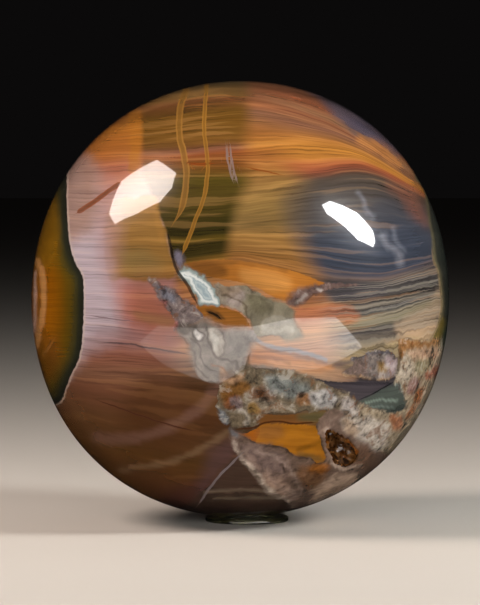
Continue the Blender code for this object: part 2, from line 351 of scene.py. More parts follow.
# Stains that iron and clay left in the beds, and two pale arcs of painted reflection.
STAINS = (
    ("olive block", "#8a6428", 0.95, 0.6, None, (
        (-40, 28), (-30, 31.5), (-25.9, 31), (-23.5, 22.8), (-21.2, 14), (-19.6, 8), (-20.5, 6.4),
        (-24.1, 5.8), (-29.9, 5.6), (-35, 6.5), (-41, 7.5))),
    ("tan end of the block", "#9c7036", 0.4, 0.7, 0.8, ((-26.9, 30), (-25.2, 24), (-24, 18))),
    ("pink veil", "#a5807a", 0.8, 4.5, None, (
        (-48, 37), (-39, 35), (-37.5, 24), (-37.5, 12), (-39, 3), (-48, 0))),
    ("mauve strip", "#ada0a8", 0.9, 4.5, None, (
        (-62, 50), (-50, 44), (-46, 38), (-44, 25), (-41, 8), (-37, -2), (-37, -10), (-46, -15),
        (-60, -20))),
    ("peach top of the strip", "#92705e", 0.8, 3.5, None, (
        (-58, 44), (-45, 42), (-43.5, 30), (-46, 20), (-56, 20))),
    ("ochre strip", "#a46824", 0.7, 0.7, None, (
        (-34.3, 57.1), (-30.3, 57.1), (-30.3, 45.5), (-31, 38.8), (-34.3, 38.8), (-33.7, 45.5))),
    ("grey shade in the block", "#7c6e46", 0.5, 3.0, None, (
        (-37, 14), (-30, 15), (-24, 11), (-26, 7), (-34, 7))),
    ("terracotta", "#a8604a", 0.6, 4.0, None, (
        (-34, 4), (-26, 3), (-22, -4), (-18, -11), (-28, -13), (-36, -4))),
    ("brown under the block", "#74482e", 0.45, 4.0, None, (
        (-32, 9), (-18, 7), (-14, -2), (-17, -10), (-30, -9), (-34, 0))),
    ("olive wisp", "#8a6a44", 0.5, 1.2, None, ((-33, -4), (-24, -5), (-19, -7), (-24, -8), (-32, -6))),
    ("plum shade", "#8c6a68", 0.5, 3.0, None, (
        (-40, -8), (-30, -9), (-28, -14), (-38, -15), (-48, -13))),
    ("brown foot", "#4f3019", 0.75, 5.0, None, (
        (-30, -24), (-16, -24), (-5, -28), (-6, -40), (-22, -46), (-36, -38))),
    ("purple foot", "#4e302c", 0.7, 3.0, None, (
        (-20, -58), (-8, -56), (-6, -63), (-16, -66), (-24, -62))),
    ("mauve foot", "#5c4444", 0.7, 3.0, None, ((-9, -46), (-2, -43), (-1, -48), (-8, -56), (-13, -60))),
    ("ochre flank", "#7e5420", 0.7, 1.8, 0.8, ((-57, -34), (-46, -48), (-34, -57), (-24, -63))),
    # The upper and lower arcs are painted reflections: pale curved lines where the polish mirrors edges
    # near the stone.
    ("upper painted reflection arc", "#76564a", 0.6, 1.4, 1.6, (
        (-5, -25), (-10, -31), (-16, -36), (-26, -41), (-37, -43), (-44, -42))),
    ("lower painted reflection arc", "#7c6248", 0.65, 1.0, 0.9, (
        (-3.8, -40.6), (-12.3, -46.1), (-23, -50.1), (-36.8, -52.3))),
    ("orange bed", "#b4713c", 0.7, 0.8, None, (
        (0, -15.5), (8, -15.3), (20, -18.6), (29, -21), (22, -22.5), (10, -20.4), (1, -19.5))),
    ("peach bed", "#c49672", 0.6, 1.2, None, (
        (9, -19), (20, -20), (30, -21.4), (36, -24.4), (28, -24.6), (16, -21.8))),
    ("red bed", "#a66242", 0.75, 1.0, None, (
        (17.8, -2.4), (25.9, -1.6), (30.4, -1.4), (36, -4.1), (33.8, -7.5), (25.9, -5.8),
        (16.7, -6.5))),
    ("violet corner", "#5a525c", 0.9, 1.4, None, (
        (20, 65.5), (24.4, 61), (27.6, 57.2), (31, 53.8), (35, 51), (41.1, 48.6), (45.2, 46.2),
        (49, 43.6), (60, 42.5), (50, 58.2), (28, 70))),
    ("peach right of the corner", "#bc7c44", 0.85, 1.2, 1.3, ((37, 48.6), (42.6, 45.4), (48.4, 41.4))),
    ("brown by the branch", "#74482e", 0.7, 1.2, None, (
        (17, 2), (24, 2.2), (27, 0), (22, -2.4), (17, -2.4))),
    ("shadow over the orange bed", "#80543a", 0.6, 0.6, 0.6, ((1, -17.2), (8, -17.6), (15, -19.6))),
    ("dark of the corner", "#454254", 0.7, 2.0, None, (
        (34, 55), (40, 53), (43, 49.5), (37, 51.6), (33, 54))),
    ("reddish end", "#80503e", 0.65, 2.5, None, (
        (44.5, 35), (53.1, 34.3), (55.1, 29.2), (57.5, 22.7), (53.1, 24.8), (49.6, 30.3))),
    ("blue slate", "#3a404d", 0.6, 3.5, None, (
        (26, 17), (36, 20), (48, 24), (56, 20), (57, 10), (36, 8), (26, 10))),
    ("grey slate", "#544a40", 0.5, 4.0, None, (
        (14, 33), (30, 35), (42, 34), (36, 25), (20, 21), (14, 24))),
    ("pale veil", "#83828a", 0.55, 1.0, 0.5, ((35.8, 32.4), (37.8, 30.2), (38.4, 27.2), (41.0, 24.8))),
    ("second veil", "#84848c", 0.6, 1.2, 0.8, ((43.6, 19.4), (45.2, 16.2), (48.2, 14.2), (48.9, 10.9))),
    ("third veil", "#7a7c86", 0.5, 0.9, 0.5, ((46.6, 21.6), (47.4, 17.8), (50.2, 15.2))),
    ("tan shoulder", "#b0967a", 0.75, 1.6, None, (
        (47.6, -7.5), (53.1, -4.4), (57.5, -1.6), (60.9, 3), (61.9, -2.4), (60.2, -8.9), (57, -14),
        (53.1, -11.6), (48.3, -11))),
    ("rusty side of the blue vein", "#7c5844", 0.75, 0.4, 0.5, (
        (3.4, -12.4), (8.0, -14.9), (12.6, -16.6), (17.2, -17.2), (21.6, -18.2), (26.0, -19.4))),
    ("thin blue vein", "#7e8086", 0.85, 0.35, 0.65, (
        (3.6, -11.4), (8.0, -13.7), (12.6, -15.4), (17.2, -16.0), (21.6, -17.0), (26.0, -18.4))),
    ("dark sliver", "#5c4a48", 0.8, 0.5, None, (
        (28.2, -20.6), (30.9, -18.8), (33.3, -18.1), (34.3, -18.5), (31.8, -20))),
    ("yellow bed", "#a48e68", 0.7, 0.8, None, (
        (31, -19), (40, -15.4), (47, -13.6), (46, -15.4), (38, -16.6))),
    ("grey band by the branch", "#474346", 0.9, 1.6, None, (
        (25, 4.4), (29.8, 5.6), (37.8, 5.0), (44.8, 2.8), (40.5, -0.8), (32.5, -0.8), (27, 0.6))),
    ("smoky beds", "#5a5450", 0.5, 1.5, None, (
        (32, -10.4), (46, -9.4), (47.5, -12), (40, -13.6), (33, -13))),
)
ground = paint(ground, STAINS)

# Patches of one colour, each with its outline. The caps at both ends run round the stone.
LEFT_CAP = (
    (-80, 41), (-54.5, 41), (-53.1, 37.9), (-53.1, 31.2), (-52.7, 22.3), (-52.0, 16.2),
    (-50.3, 10.8), (-48.1, 6.4), (-47.8, -2.4), (-48.2, -11.3), (-49.4, -18.3), (-51.6, -22.9),
    (-53.4, -27.2), (-57.5, -32.5), (-80, -33),
)
RIGHT_CAP = (
    (80, 38), (54.5, 38.5), (56.2, 33.0), (57.4, 24.1), (58.6, 18.0), (59.2, 11.9), (60.6, 8.1),
    (61.4, 2.7), (61.7, -2.4), (60.6, -7.5), (59.2, -11.0), (58.8, -14), (61.5, -20), (60.5, -25),
    (54.0, -36), (80, -38),
)
PATCHES = (
    ("orange lens", "#a86a2a", (
        (-17.2, 10.6), (-3.7, 12.1), (14.0, 9.2), (23.8, 5.6), (28.1, 3.7), (21.0, 3.0), (16.4, -0.5),
        (11.0, 0.2), (3.0, 4.4), (-9.0, 6.8))),
    ("orange wedge", "#8e5a24", (
        (-13.3, -2.1), (-10.5, -2.1), (-6.4, -2.4), (-0.3, -4.1), (2.8, -8.2), (-3.7, -8.1),
        (-9.2, -6.5), (-12.2, -4.1))),
    ("slate band", "#453f43", (
        (21.3, -24.0), (27.3, -25.2), (33.3, -25.4), (39.4, -25.1), (43.9, -25.5), (47.2, -25.4),
        (44.5, -27.0), (39.4, -29.4), (36.4, -30.9), (32.7, -30.0), (30.3, -28.2), (27.3, -27.0))),
    ("teal wedge", "#4a504a", (
        (36.4, -31.1), (39.4, -29.8), (47.2, -25.6), (48.4, -27.6), (50.9, -30.6), (51.2, -32.4),
        (48.1, -34.5), (44.2, -34.5), (41.2, -33.6), (38.8, -32.4))),
    ("orange jasper", "#ae701c", (
        (5.7, -38.9), (7.8, -38.2), (11.2, -37.9), (16.3, -38.4), (21.4, -38.2), (23.1, -39.1),
        (24.3, -41.8), (24.8, -44.9), (26.2, -48.3), (25.5, -49.6), (23.5, -50.2), (21.4, -48.6),
        (19.4, -48.3), (16.7, -47.9), (15.0, -46.6), (13.9, -45.6), (9.8, -44.5), (5.1, -44.2),
        (4.9, -42.5), (5.7, -40.4))),
    ("jasper tongue", "#a05c18", (
        (-2.4, -40.2), (1.4, -41.2), (5.9, -39.3), (5.0, -43.5), (2.0, -42.4))),
    ("jasper roof", "#7a5028", (
        (4.4, -37.7), (3.7, -36.0), (7.1, -35.2), (12.9, -35.5), (19.7, -34.8), (24.8, -34.0),
        (26.5, -35.0), (23.0, -38.9), (18.0, -38.2), (11.2, -38.2), (7.1, -38.4))),
    ("dark foot", "#4c3a30", (
        (-0.6, -47.7), (4.3, -53.9), (9.6, -58.3), (14.9, -62.8), (14.0, -75), (-12.6, -75),
        (-16.1, -63.7), (-9.0, -56.6))),
)
LEFT_CAP_COLOURS = (
    (0, "#1e1f18"), (1.4, "#27281c"), (2.6, "#3c3618"), (4.4, "#56420e"), (7, "#684708"),
    (14, "#7c4c08"),
)
RIGHT_CAP_COLOURS = ((0, "#6a6046"), (1.0, "#35362e"), (4, "#2c322c"), (10, "#3b3728"))
patch_depth = np.full(len(surface), -FAR_MM)
patch_colour = np.ones((len(surface), 3)) * linear("#8a6530")

FADES_BEHIND = 0.5
RIM_MARGIN_MM = 6


def depth_inside(outline, wander=0.0, on_back=False):
    """Millimetres inside an outline. It fades out behind the rim that it is seen from."""
    distance, side, _ = measure(outline, wander=wander, on_back=on_back)
    depth = distance * side
    return np.minimum(depth, behind - RIM_MARGIN_MM) if on_back else depth - FADES_BEHIND * behind


def lay_over(colours, depths, fill, depth):
    """Puts one more area into a set of areas, where it lies deepest."""
    return np.where((depth > depths)[:, None], fill, colours), np.maximum(depth, depths)


for _, colour, outline in PATCHES:
    depth = depth_inside(outline)
    patch_colour, patch_depth = lay_over(patch_colour, patch_depth, linear(colour), depth)
left_cap, right_cap = (
    distance * side for distance, side, _ in (measure(LEFT_CAP), measure(RIGHT_CAP))
)
for depth, stops in ((left_cap, LEFT_CAP_COLOURS), (right_cap, RIGHT_CAP_COLOURS)):
    patch_colour, patch_depth = lay_over(patch_colour, patch_depth, ramp_colours(stops, depth), depth)
PATCH_STAINS = (
    ("amber glow", "#8a4e04", 0.6, 3.0, None, (
        (-60, 12), (-57, 10), (-55, 0), (-56, -10), (-60, -12), (-62, 0))),
    ("olive cap top", "#74500e", 0.8, 1.8, None, (
        (-60, 34), (-56.6, 30), (-55.4, 16), (-58, 10), (-64, 12))),
    ("rusty cap foot", "#6c3c12", 0.6, 2.5, None, ((-60, -14), (-56, -12), (-55, -18), (-58, -24))),
    ("tan ribbon", "#ae7c48", 0.9, 0.4, 0.9, (
        (-62.2, 11.6), (-60.4, 7.3), (-60.2, -2.4), (-61.2, -8.6), (-62.4, -14.4))),
    ("pale ribbon", "#b09080", 0.9, 0.4, 0.5, ((-62.6, 8), (-62.7, -2), (-63.0, -10))),
    ("brighter lens", "#c08646", 0.75, 1.6, None, (
        (0, 8.8), (9, 8.6), (15, 6), (14, 2.6), (7, 2.4), (1, 5))),
    ("lens top", "#84582a", 0.7, 0.8, 0.8, ((-14, 10.6), (-4, 11.4), (6, 11), (14, 9.2))),
    ("brown left of the lens", "#6a431e", 0.8, 1.4, None, (
        (-18, 11.4), (-10, 11.8), (-5, 10.2), (-4, 7.4), (-9, 6.4), (-14, 7.6))),
    ("dark heart of the wedge", "#46301c", 0.75, 0.6, None, (
        (-10.6, -3.4), (-7.4, -3.8), (-4.6, -6.0), (-6.4, -6.4), (-9.4, -5.2))),
    ("jasper grey top", "#8a5c30", 0.7, 1.5, None, ((6, -39), (12, -38.4), (13, -42), (6, -43))),
    ("jasper dark streak", "#7e5214", 0.7, 0.7, 0.7, ((18, -46), (22, -44.4), (25, -43.4))),
    ("jasper green foot", "#6e5a34", 0.7, 1.0, None, ((18, -47), (24, -48), (25, -50), (19, -49))),
    ("green end of the roof", "#5c5a3c", 0.8, 1.5, None, (
        (18, -35), (26, -34), (26, -37), (19, -37.6))),
    ("slate roof", "#2e2a30", 0.8, 0.4, 0.5, ((21.3, -24.6), (33.3, -25.6), (47, -25.8))),
    ("teal light line", "#7d8c80", 0.8, 0.3, 0.35, ((38.4, -31.6), (42.5, -30.9), (48, -31.1))),
    ("second teal line", "#74827a", 0.7, 0.3, 0.3, ((39.4, -33.3), (43, -33.0), (47, -33.1))),
    ("teal dark base", "#3a3f3a", 0.7, 0.8, 0.7, ((42, -34.2), (46, -34), (51, -32.6))),
    ("yellow of the right cap", "#7a6628", 0.8, 0.8, None, (
        (59.2, -11.3), (61.6, -5.8), (62.6, -7.9), (61.2, -12), (58.5, -13.4))),
    ("green of the right cap", "#1f3226", 0.7, 1.2, None, (
        (61.5, -9), (64, -8), (63.5, -16), (61.5, -15))),
    ("grey line in the foot", "#8a7c6a", 0.6, 0.5, 0.35, ((-10.8, -59.2), (1.6, -58.3), (12, -59.4))),
    ("second line in the foot", "#7e7462", 0.6, 0.4, 0.4, ((-8, -61.2), (2, -60.6), (12, -61.0))),
)
patch_colour = paint(patch_colour, PATCH_STAINS, 0.3)

# Crystalline agate. It filled the cracks and hollows last, from grey chalcedony to open druse.
# Each body of it has its colour, how grainy it is, and its outline.
CRYSTAL_BODIES = (
    ("violet blob", "#68626e", 0.1, (
        (-20.3, 14.0), (-18.0, 14.2), (-17.2, 11.9), (-18.0, 8.9), (-19.4, 9.8))),
    ("upper grey mass", "#8a7f70", 0.35, (
        (-8.5, 5.1), (-4.4, 3.9), (-0.3, 4.0), (3.1, 3.4), (6.5, 1.0), (1.7, -1.1), (2.4, -4.1),
        (3.1, -7.9), (0.4, -4.1), (-3.7, -2.4), (-6.8, -1.8), (-7.5, 1.7))),
    ("lower grey mass", "#78705e", 0.2, (
        (-1.0, 3.4), (2.4, 3.7), (6.5, 1.0), (11.6, -0.4), (14.0, -1.1), (16.7, -3.1), (16.4, -5.8),
        (17.8, -8.9), (19.5, -11.6), (14.4, -12.7), (9.9, -11.0), (4.5, -11.3), (3.1, -7.9),
        (0.4, -3.8))),
    ("branch", "#64504a", 0.5, (
        (16.7, -3.1), (13.7, -1.1), (16.4, 2.0), (21.2, 4.2), (25.9, 4.6), (30.0, 4.8), (36.0, 4.4),
        (30.9, 3.4), (25.9, 2.8), (22.5, 1.0), (19.5, -1.1))),
    ("violet vein", "#6c605e", 0.9, (
        (-27.6, 5.6), (-24.5, 4.7), (-21.1, 3.4), (-17.4, 0.3), (-14.0, -2.1), (-11.2, -5.2),
        (-14.0, -7.5), (-19.1, -9.9), (-20.3, -9.3), (-19.7, -6.5), (-22.8, -3.1), (-24.9, 0.0),
        (-26.2, 2.7))),
    ("grey knots", "#807871", 0.25, (
        (-17.4, -12.0), (-19.7, -9.3), (-14.0, -6.9), (-10.5, -5.8), (-7.1, -7.9), (-3.7, -8.9),
        (4.4, -9.3), (4.7, -12.9), (2.9, -16.3), (1.7, -21.2), (-1.7, -22.2), (-5.8, -22.9),
        (-3.7, -25.3), (-8.5, -25.6), (-12.6, -23.6), (-14.0, -20.2), (-16.3, -14.7))),
    ("grey druse band", "#6a5e4c", 0.95, (
        (-0.2, -18.9), (4.0, -20.6), (7.8, -21.2), (14.0, -21.9), (22.0, -24.4), (30.0, -27.7),
        (36.2, -31.0), (34.5, -34.4), (30.0, -34.4), (26.0, -34.0), (18.0, -35.0), (10.5, -35.2),
        (4.4, -36.0), (4.9, -38.8), (-0.2, -40.2), (-4.6, -37.9), (-6.8, -33.5), (-6.4, -28.2),
        (-5.5, -24.9), (-2.0, -24.0))),
    ("blue lens", "#756b66", 0.8, (
        (33.6, -18.2), (39.4, -16.4), (43.9, -15.7), (46.9, -16.0), (48.0, -17.3), (48.1, -21.0),
        (47.2, -23.4), (43.9, -24.6), (39.4, -24.3), (33.3, -23.5), (31.2, -22.5), (33.9, -20.6),
        (34.6, -19.4))),
    ("right druse", "#94856f", 1.0, (
        (48.1, -12.8), (51.5, -12.4), (56.9, -13.0), (59.3, -12.3), (66, -13.0), (74, -18.5),
        (72, -24.5), (61.6, -26.8), (58.0, -31.2), (55.8, -35.6), (53.2, -39.1), (50.4, -42.7),
        (46.0, -46.6), (43.0, -47.6), (39.4, -45.1), (35.2, -41.5), (31.2, -38.5), (30.9, -36.7),
        (32.2, -34.5), (36.4, -32.0), (41.2, -33.9), (44.2, -34.7), (48.1, -34.7), (50.9, -32.1),
        (48.4, -27.6), (47.5, -24.6), (48.4, -21.0), (48.0, -17.3))),
    ("clear quartz", "#6e5b50", 0.35, (
        (-3.1, -39.4), (1.0, -41.5), (4.4, -43.8), (9.8, -44.5), (13.9, -45.6), (16.7, -47.9),
        (21.4, -48.6), (23.5, -50.2), (26.2, -48.6), (25.2, -44.9), (24.3, -41.8), (23.1, -38.4),
        (26.2, -34.6), (30.0, -33.3), (35.1, -37.7), (41.2, -44.6), (45.9, -48.0), (51, -56),
        (44, -64), (33, -72), (20, -78), (14.6, -62.3), (8.5, -58.9), (5.4, -54.4),
        (1.0, -50.0), (-1.4, -46.6), (-2.8, -41.8))),
)
CRYSTAL_STAINS = (
    ("mauve of the mass", "#8a7c78", 0.6, 1.0, None, ((-3, 3), (2, 2.6), (0, -2.6), (-4, -1.6))),
    ("pale knot", "#a8a196", 0.7, 0.8, None, (
        (-8.6, -8.4), (-6.4, -9.6), (-5.0, -14.0), (-6.6, -17.0), (-9.0, -14.0), (-10.4, -10.4))),
    ("white spot", "#d8d4d0", 0.9, 0.4, None, (
        (-13.8, -9.3), (-11.9, -12), (-12.9, -12.9), (-13.8, -11))),
    ("white oval", "#bcb8b0", 0.8, 0.5, None, (
        (-9.2, -10.3), (-7.6, -11.3), (-6.9, -14.7), (-8.2, -15.4), (-9.2, -12.7))),
    ("cool knots", "#6e6a66", 0.6, 1.5, None, ((-4, -11), (2, -11), (1, -17), (-4, -17))),
    ("tan between the knots", "#b48a68", 0.7, 0.8, None, (
        (-6, -21), (-3, -23), (1, -24), (-1, -25.4), (-6, -24.8))),
    ("grey curl", "#4c4440", 0.85, 0.3, 0.3, (
        (-10.6, -9), (-9.8, -14), (-6.2, -17.6), (-2.4, -19.8), (-1, -22))),
    ("second curl", "#504844", 0.8, 0.3, 0.25, ((-15, -12), (-12.6, -14.6), (-11.4, -19), (-8, -22.4))),
    ("round the white spot", "#463e3c", 0.8, 0.25, 0.25, (
        (-14.2, -8.8), (-11.4, -11.6), (-12.8, -13.5), (-14.4, -11.2), (-14.2, -8.8))),
    ("round the pale knot", "#5a524c", 0.8, 0.3, 0.3, (
        (-10.8, -9.6), (-9.4, -14.4), (-6.6, -17.6), (-4.4, -14.2), (-5.8, -9.2))),
    ("curl by the edge", "#5c544e", 0.7, 0.3, 0.3, (
        (-16.4, -15), (-13.6, -17.4), (-13.2, -21), (-10, -24.4))),
    ("rust in the knots", "#8c6040", 0.6, 0.4, 0.4, ((-8.4, -20.2), (-5.6, -21.2), (-3.6, -23.4))),
    ("brown of the mass", "#6a5640", 0.6, 0.9, None, (
        (-6.6, 3.6), (-3, 4), (1, 3.2), (-1, 1.6), (-5, 1.4))),
    ("olive of the mass", "#5c5640", 0.6, 1.2, None, (
        (3, 2.6), (8, 0.4), (9, -3.4), (4.4, -4.4), (2.6, -1))),
    ("pale edge of the mass", "#a09a8c", 0.6, 0.8, None, (
        (8, -6), (15, -6.6), (17.4, -10.4), (12, -11), (7, -10))),
    ("dark seam of the mass", "#544636", 0.7, 0.3, 0.35, (
        (-5.4, 1.6), (-1, 0.6), (1.6, -2), (2.6, -6.4))),
    ("dark of the vein", "#4a423c", 0.8, 0.7, None, (
        (-20, -8), (-17, -6.8), (-13, -8), (-14, -10), (-19, -10.6))),
    ("pink of the vein", "#a0605a", 0.7, 0.6, None, (
        (-24.6, -0.4), (-22.6, -0.6), (-22.8, -2.6), (-24, -2.4))),
    ("pink by the dark", "#94504a", 0.7, 0.6, None, (
        (-20.8, -7), (-19.4, -6.8), (-19.8, -9), (-21, -8.8))),
    ("blue of the vein", "#6c7484", 0.5, 0.8, None, ((-25, 4), (-21, 2), (-20, -1), (-24, 1))),
    ("crystals on the branch", "#a89c94", 0.8, 0.4, 0.5, ((23.6, 3.2), (25.0, 2.4))),
    ("lower crystals on the branch", "#9c9088", 0.8, 0.4, 0.6, ((17.4, -1.6), (18.6, 0.2), (20, 1.4))),
    ("rust of the band", "#744a12", 0.8, 1.0, None, (
        (-5.6, -26.2), (1.4, -25.4), (2.4, -27.6), (-0.6, -30), (-4.6, -31.6), (-6, -29))),
    ("brown of the band", "#6c4c3c", 0.6, 1.0, None, ((3, -27), (10, -27), (10, -31), (4, -31))),
    ("blue-grey of the band", "#727a7a", 0.7, 1.4, None, (
        (8, -23), (18, -25), (22, -28), (16, -30.4), (9, -28))),
    ("cream of the band", "#8e8272", 0.7, 0.8, None, (
        (2, -31), (9, -30.6), (15, -32.6), (8, -34.4), (2, -33.6))),
    ("ochre of the band", "#8c6820", 0.7, 0.8, None, ((2.4, -32), (5, -31.8), (6, -34.4), (3, -34.6))),
    ("second rust of the band", "#84542a", 0.6, 0.7, None, (
        (17.6, -29.6), (21, -29), (22, -31.4), (18.4, -33))),
    ("white tufts", "#a7a4a2", 0.8, 0.9, None, (
        (22, -28.6), (27, -28.2), (30, -31), (26, -33.4), (22, -32))),
    ("white by the teal", "#a39b96", 0.8, 1.0, None, (
        (31, -31), (35, -31.6), (36, -35.4), (33, -36), (31, -33.4))),
    ("blue edge of the band", "#626870", 0.8, 0.7, None, (
        (-7, -34), (-5, -34), (-2.4, -39), (-1, -42), (-4.6, -40), (-6.6, -37))),
    ("cream curl", "#9f968a", 0.8, 0.5, 0.6, ((-3.4, -34.4), (0.6, -34), (2.2, -36.2), (1.6, -38.4))),
    ("rust tongue", "#844a22", 0.7, 0.6, None, ((-4.6, -30.6), (-3, -31), (-2.4, -34), (-4, -33.6))),
    ("mauve above the tongue", "#7c6a6e", 0.7, 0.8, None, (
        (-3, -29.6), (0, -29.6), (0, -33.4), (-2.4, -33))),
    ("brown tip of the lens", "#5e4a42", 0.7, 1.2, None, (
        (31, -22.4), (34, -18.8), (38, -18.6), (38.4, -23.6))),
    ("brown of the lens", "#7a5c2c", 0.85, 0.7, None, (
        (42.4, -19.1), (44.5, -19.4), (44.8, -21.6), (43.3, -22.2), (42.1, -20.6))),
    ("pink of the lens", "#9c8a8c", 0.7, 0.9, None, (
        (44.6, -17), (47.4, -17.6), (47.6, -22), (45.4, -22.4))),
    ("tan foot of the lens", "#a07f58", 0.8, 0.6, 0.6, (
        (31, -23.2), (36, -24.2), (42, -24.8), (46, -24.4))),
    ("dark roof of the lens", "#3c3c46", 0.8, 0.5, 0.5, ((34.6, -18.2), (40, -16.4), (46, -15.6))),
    ("rust top", "#80521e", 0.8, 0.9, None, (
        (47.5, -12.2), (51.5, -11.8), (57.5, -12.4), (59.9, -11.7), (60.2, -14), (56, -14.9),
        (51.5, -15.2), (49.7, -18.4), (48.1, -17.7))),
    ("pink crystals", "#bf967a", 0.6, 1.2, None, ((52, -16), (60, -15), (60, -18), (54, -19))),
    ("white crystals", "#b3a695", 0.7, 1.2, None, (
        (48.6, -20), (52.4, -19), (53, -24), (50, -26), (48.6, -24))),
    ("green of the druse", "#6e6a4c", 0.6, 1.2, None, ((54, -19), (58, -18.4), (57, -22), (54, -22.4))),
    ("red rim", "#8e3c22", 0.8, 0.6, None, (
        (61.4, -20), (60.8, -22.5), (58.4, -24), (56.9, -23.7), (58.4, -21.6))),
    ("green rim of the druse", "#2e3a2c", 0.8, 0.6, 0.9, ((62.6, -12), (62.9, -16), (62.4, -20))),
    ("mauve of the druse", "#7e5c5a", 0.8, 0.7, None, (
        (51.2, -25.8), (53.3, -24), (54.8, -25.2), (53.9, -27.6), (51.8, -29.1), (50.6, -28.2))),
    ("rust strip", "#8a4c20", 0.8, 0.6, None, (
        (56.3, -27), (53.9, -28.8), (53, -32.4), (50.9, -35.4), (51.8, -36.7), (53.6, -33.6),
        (55.7, -30))),
    ("pale blue edge", "#8a9a94", 0.8, 0.5, None, (
        (47.2, -25.8), (49.1, -27), (50.3, -30.3), (47.8, -31.2), (46.9, -34.2), (46.3, -32.4),
        (47.2, -28.8))),
    ("rust crystals", "#a06444", 0.8, 0.6, None, (
        (46.3, -35.4), (49.1, -35.8), (50, -38.5), (48.4, -40.3), (46.3, -39.7))),
    ("white druse", "#b4aaa0", 0.8, 1.2, None, (
        (30.8, -36.9), (35.1, -36.4), (40.2, -36.4), (45, -38.1), (45, -43.6), (42.2, -46),
        (38.8, -44.4), (34.7, -41.2), (31.7, -39.4))),
    ("cream of the druse", "#b09478", 0.7, 1.0, None, ((31, -37.4), (34.6, -38), (36, -41), (33, -41))),
    ("grey left of the pocket", "#8c7466", 0.6, 0.8, None, (
        (24, -38), (26, -36), (27, -40), (28.4, -48), (26.6, -49))),
    ("white border", "#ccbcae", 0.9, 0.7, 1.0, (
        (-2.2, -44), (-1.4, -46.6), (1, -50), (5.4, -54.4), (8.5, -58.5), (14.6, -62.2))),
    ("cloudy quartz", "#a88c7a", 0.7, 1.2, None, (
        (6.4, -53.1), (11.2, -53.7), (14.6, -57.5), (12.6, -60.4), (8.5, -57.5))),
    ("grey quartz", "#7c6a66", 0.6, 2.0, None, (
        (0, -44), (8, -46), (14, -49), (13, -54), (6, -52), (1, -48))),
    ("tufts along the border", "#a89084", 0.6, 1.2, 0.9, (
        (1.6, -46.4), (4.2, -50.6), (8.4, -53.6), (12.4, -57.2), (17.0, -60.4))),
    ("seam of the quartz", "#a08c82", 0.6, 0.6, 0.4, (
        (5, -46.4), (9, -47.8), (13, -50.2), (17, -54.6), (18.6, -60))),
    # The dark speck is a small slot drawn as a dark stroke: painted shade in place of a hollow.
    ("painted shade of the small slot", "#2c2018", 0.9, 0.35, 0.4, ((12.9, -50.6), (13.3, -53.2))),
    ("brown quartz", "#745030", 0.7, 1.2, None, (
        (18, -51.4), (23.5, -51), (26.2, -53.1), (24.8, -56.1), (21.4, -58.2), (18, -55.4))),
    ("rusty quartz", "#9c6020", 0.8, 0.8, None, (
        (21.4, -51.7), (24.8, -50.4), (27.4, -51.6), (24.8, -53.7), (22.5, -53.4))),
    ("pale foot", "#ceb29c", 0.8, 1.0, None, (
        (26.5, -55.4), (31.7, -53.4), (35.8, -54.1), (33.7, -57.5), (27.5, -62.2), (20.8, -61.9))),
    ("brown end", "#745440", 0.6, 1.5, None, ((36, -45), (42, -48), (40, -53), (36, -52))),
    ("pale lip of the pocket", "#b09c8c", 0.9, 0.4, 0.45, (
        (26.2, -39.4), (26.9, -42.5), (27.6, -45.2), (28.2, -48.3), (28.4, -50.6), (31, -51.6),
        (36.8, -51.4))),
)
crystal_depth = np.full(len(surface), -FAR_MM)
crystal_colour = np.ones((len(surface), 3)) * linear("#8f7d6a")
grain = np.zeros(len(surface))
# The back has its own, invented: a vein with a swelling and a patch of druse, as seen from there.
BACK_CRYSTALS = (
    ("back vein", "#857c70", 0.4, (
        (-26, 34), (-19, 24), (-12, 17), (-3, 12), (4, 4), (9, -8), (17, -16), (28, -21), (26, -25),
        (14, -22), (4, -14), (-1, -4), (-8, 4), (-17, 10), (-23, 20), (-28, 31))),
    ("swelling of the vein", "#8c8880", 0.3, (
        (-4, 8), (3, 9), (10, 3), (13, -6), (8, -15), (0, -14), (-5, -5))),
    ("back druse", "#8a7a66", 0.95, (
        (14, -30), (24, -27), (34, -31), (37, -39), (29, -46), (17, -44), (11, -37))),
)
for bodies, stains, wander, on_back in (
    (CRYSTAL_BODIES, CRYSTAL_STAINS, 0.0, False),
    (BACK_CRYSTALS, (), 1.0, True),
):
    for _, colour, graininess, outline in bodies:
        depth = depth_inside(outline, wander, on_back)
        grain = np.where(depth > crystal_depth, graininess, grain)
        crystal_colour, crystal_depth = lay_over(crystal_colour, crystal_depth, linear(colour), depth)
    crystal_colour = paint(crystal_colour, stains, 0.8)

# Banded chalcedony lines two of the hollows, one on each side.
CHALCEDONY = (
    (-18.0, 8.8), (-16.3, 9.7), (-13.3, 7.8), (-9.2, 5.4), (-8.5, 3.7), (-7.1, 1.0), (-6.4, -1.4),
    (-8.5, -1.7), (-12.2, -0.6), (-15.0, 3.4), (-16.3, 6.1), (-17.7, 7.5),
)
BACK_CHALCEDONY = ((0, 5), (5, 4), (9, -3), (8, -10), (3, -10), (-1, -3))
chalcedony = np.maximum(
    depth_inside(CHALCEDONY, wander=0.8), depth_inside(BACK_CHALCEDONY, wander=0.6, on_back=True),
)
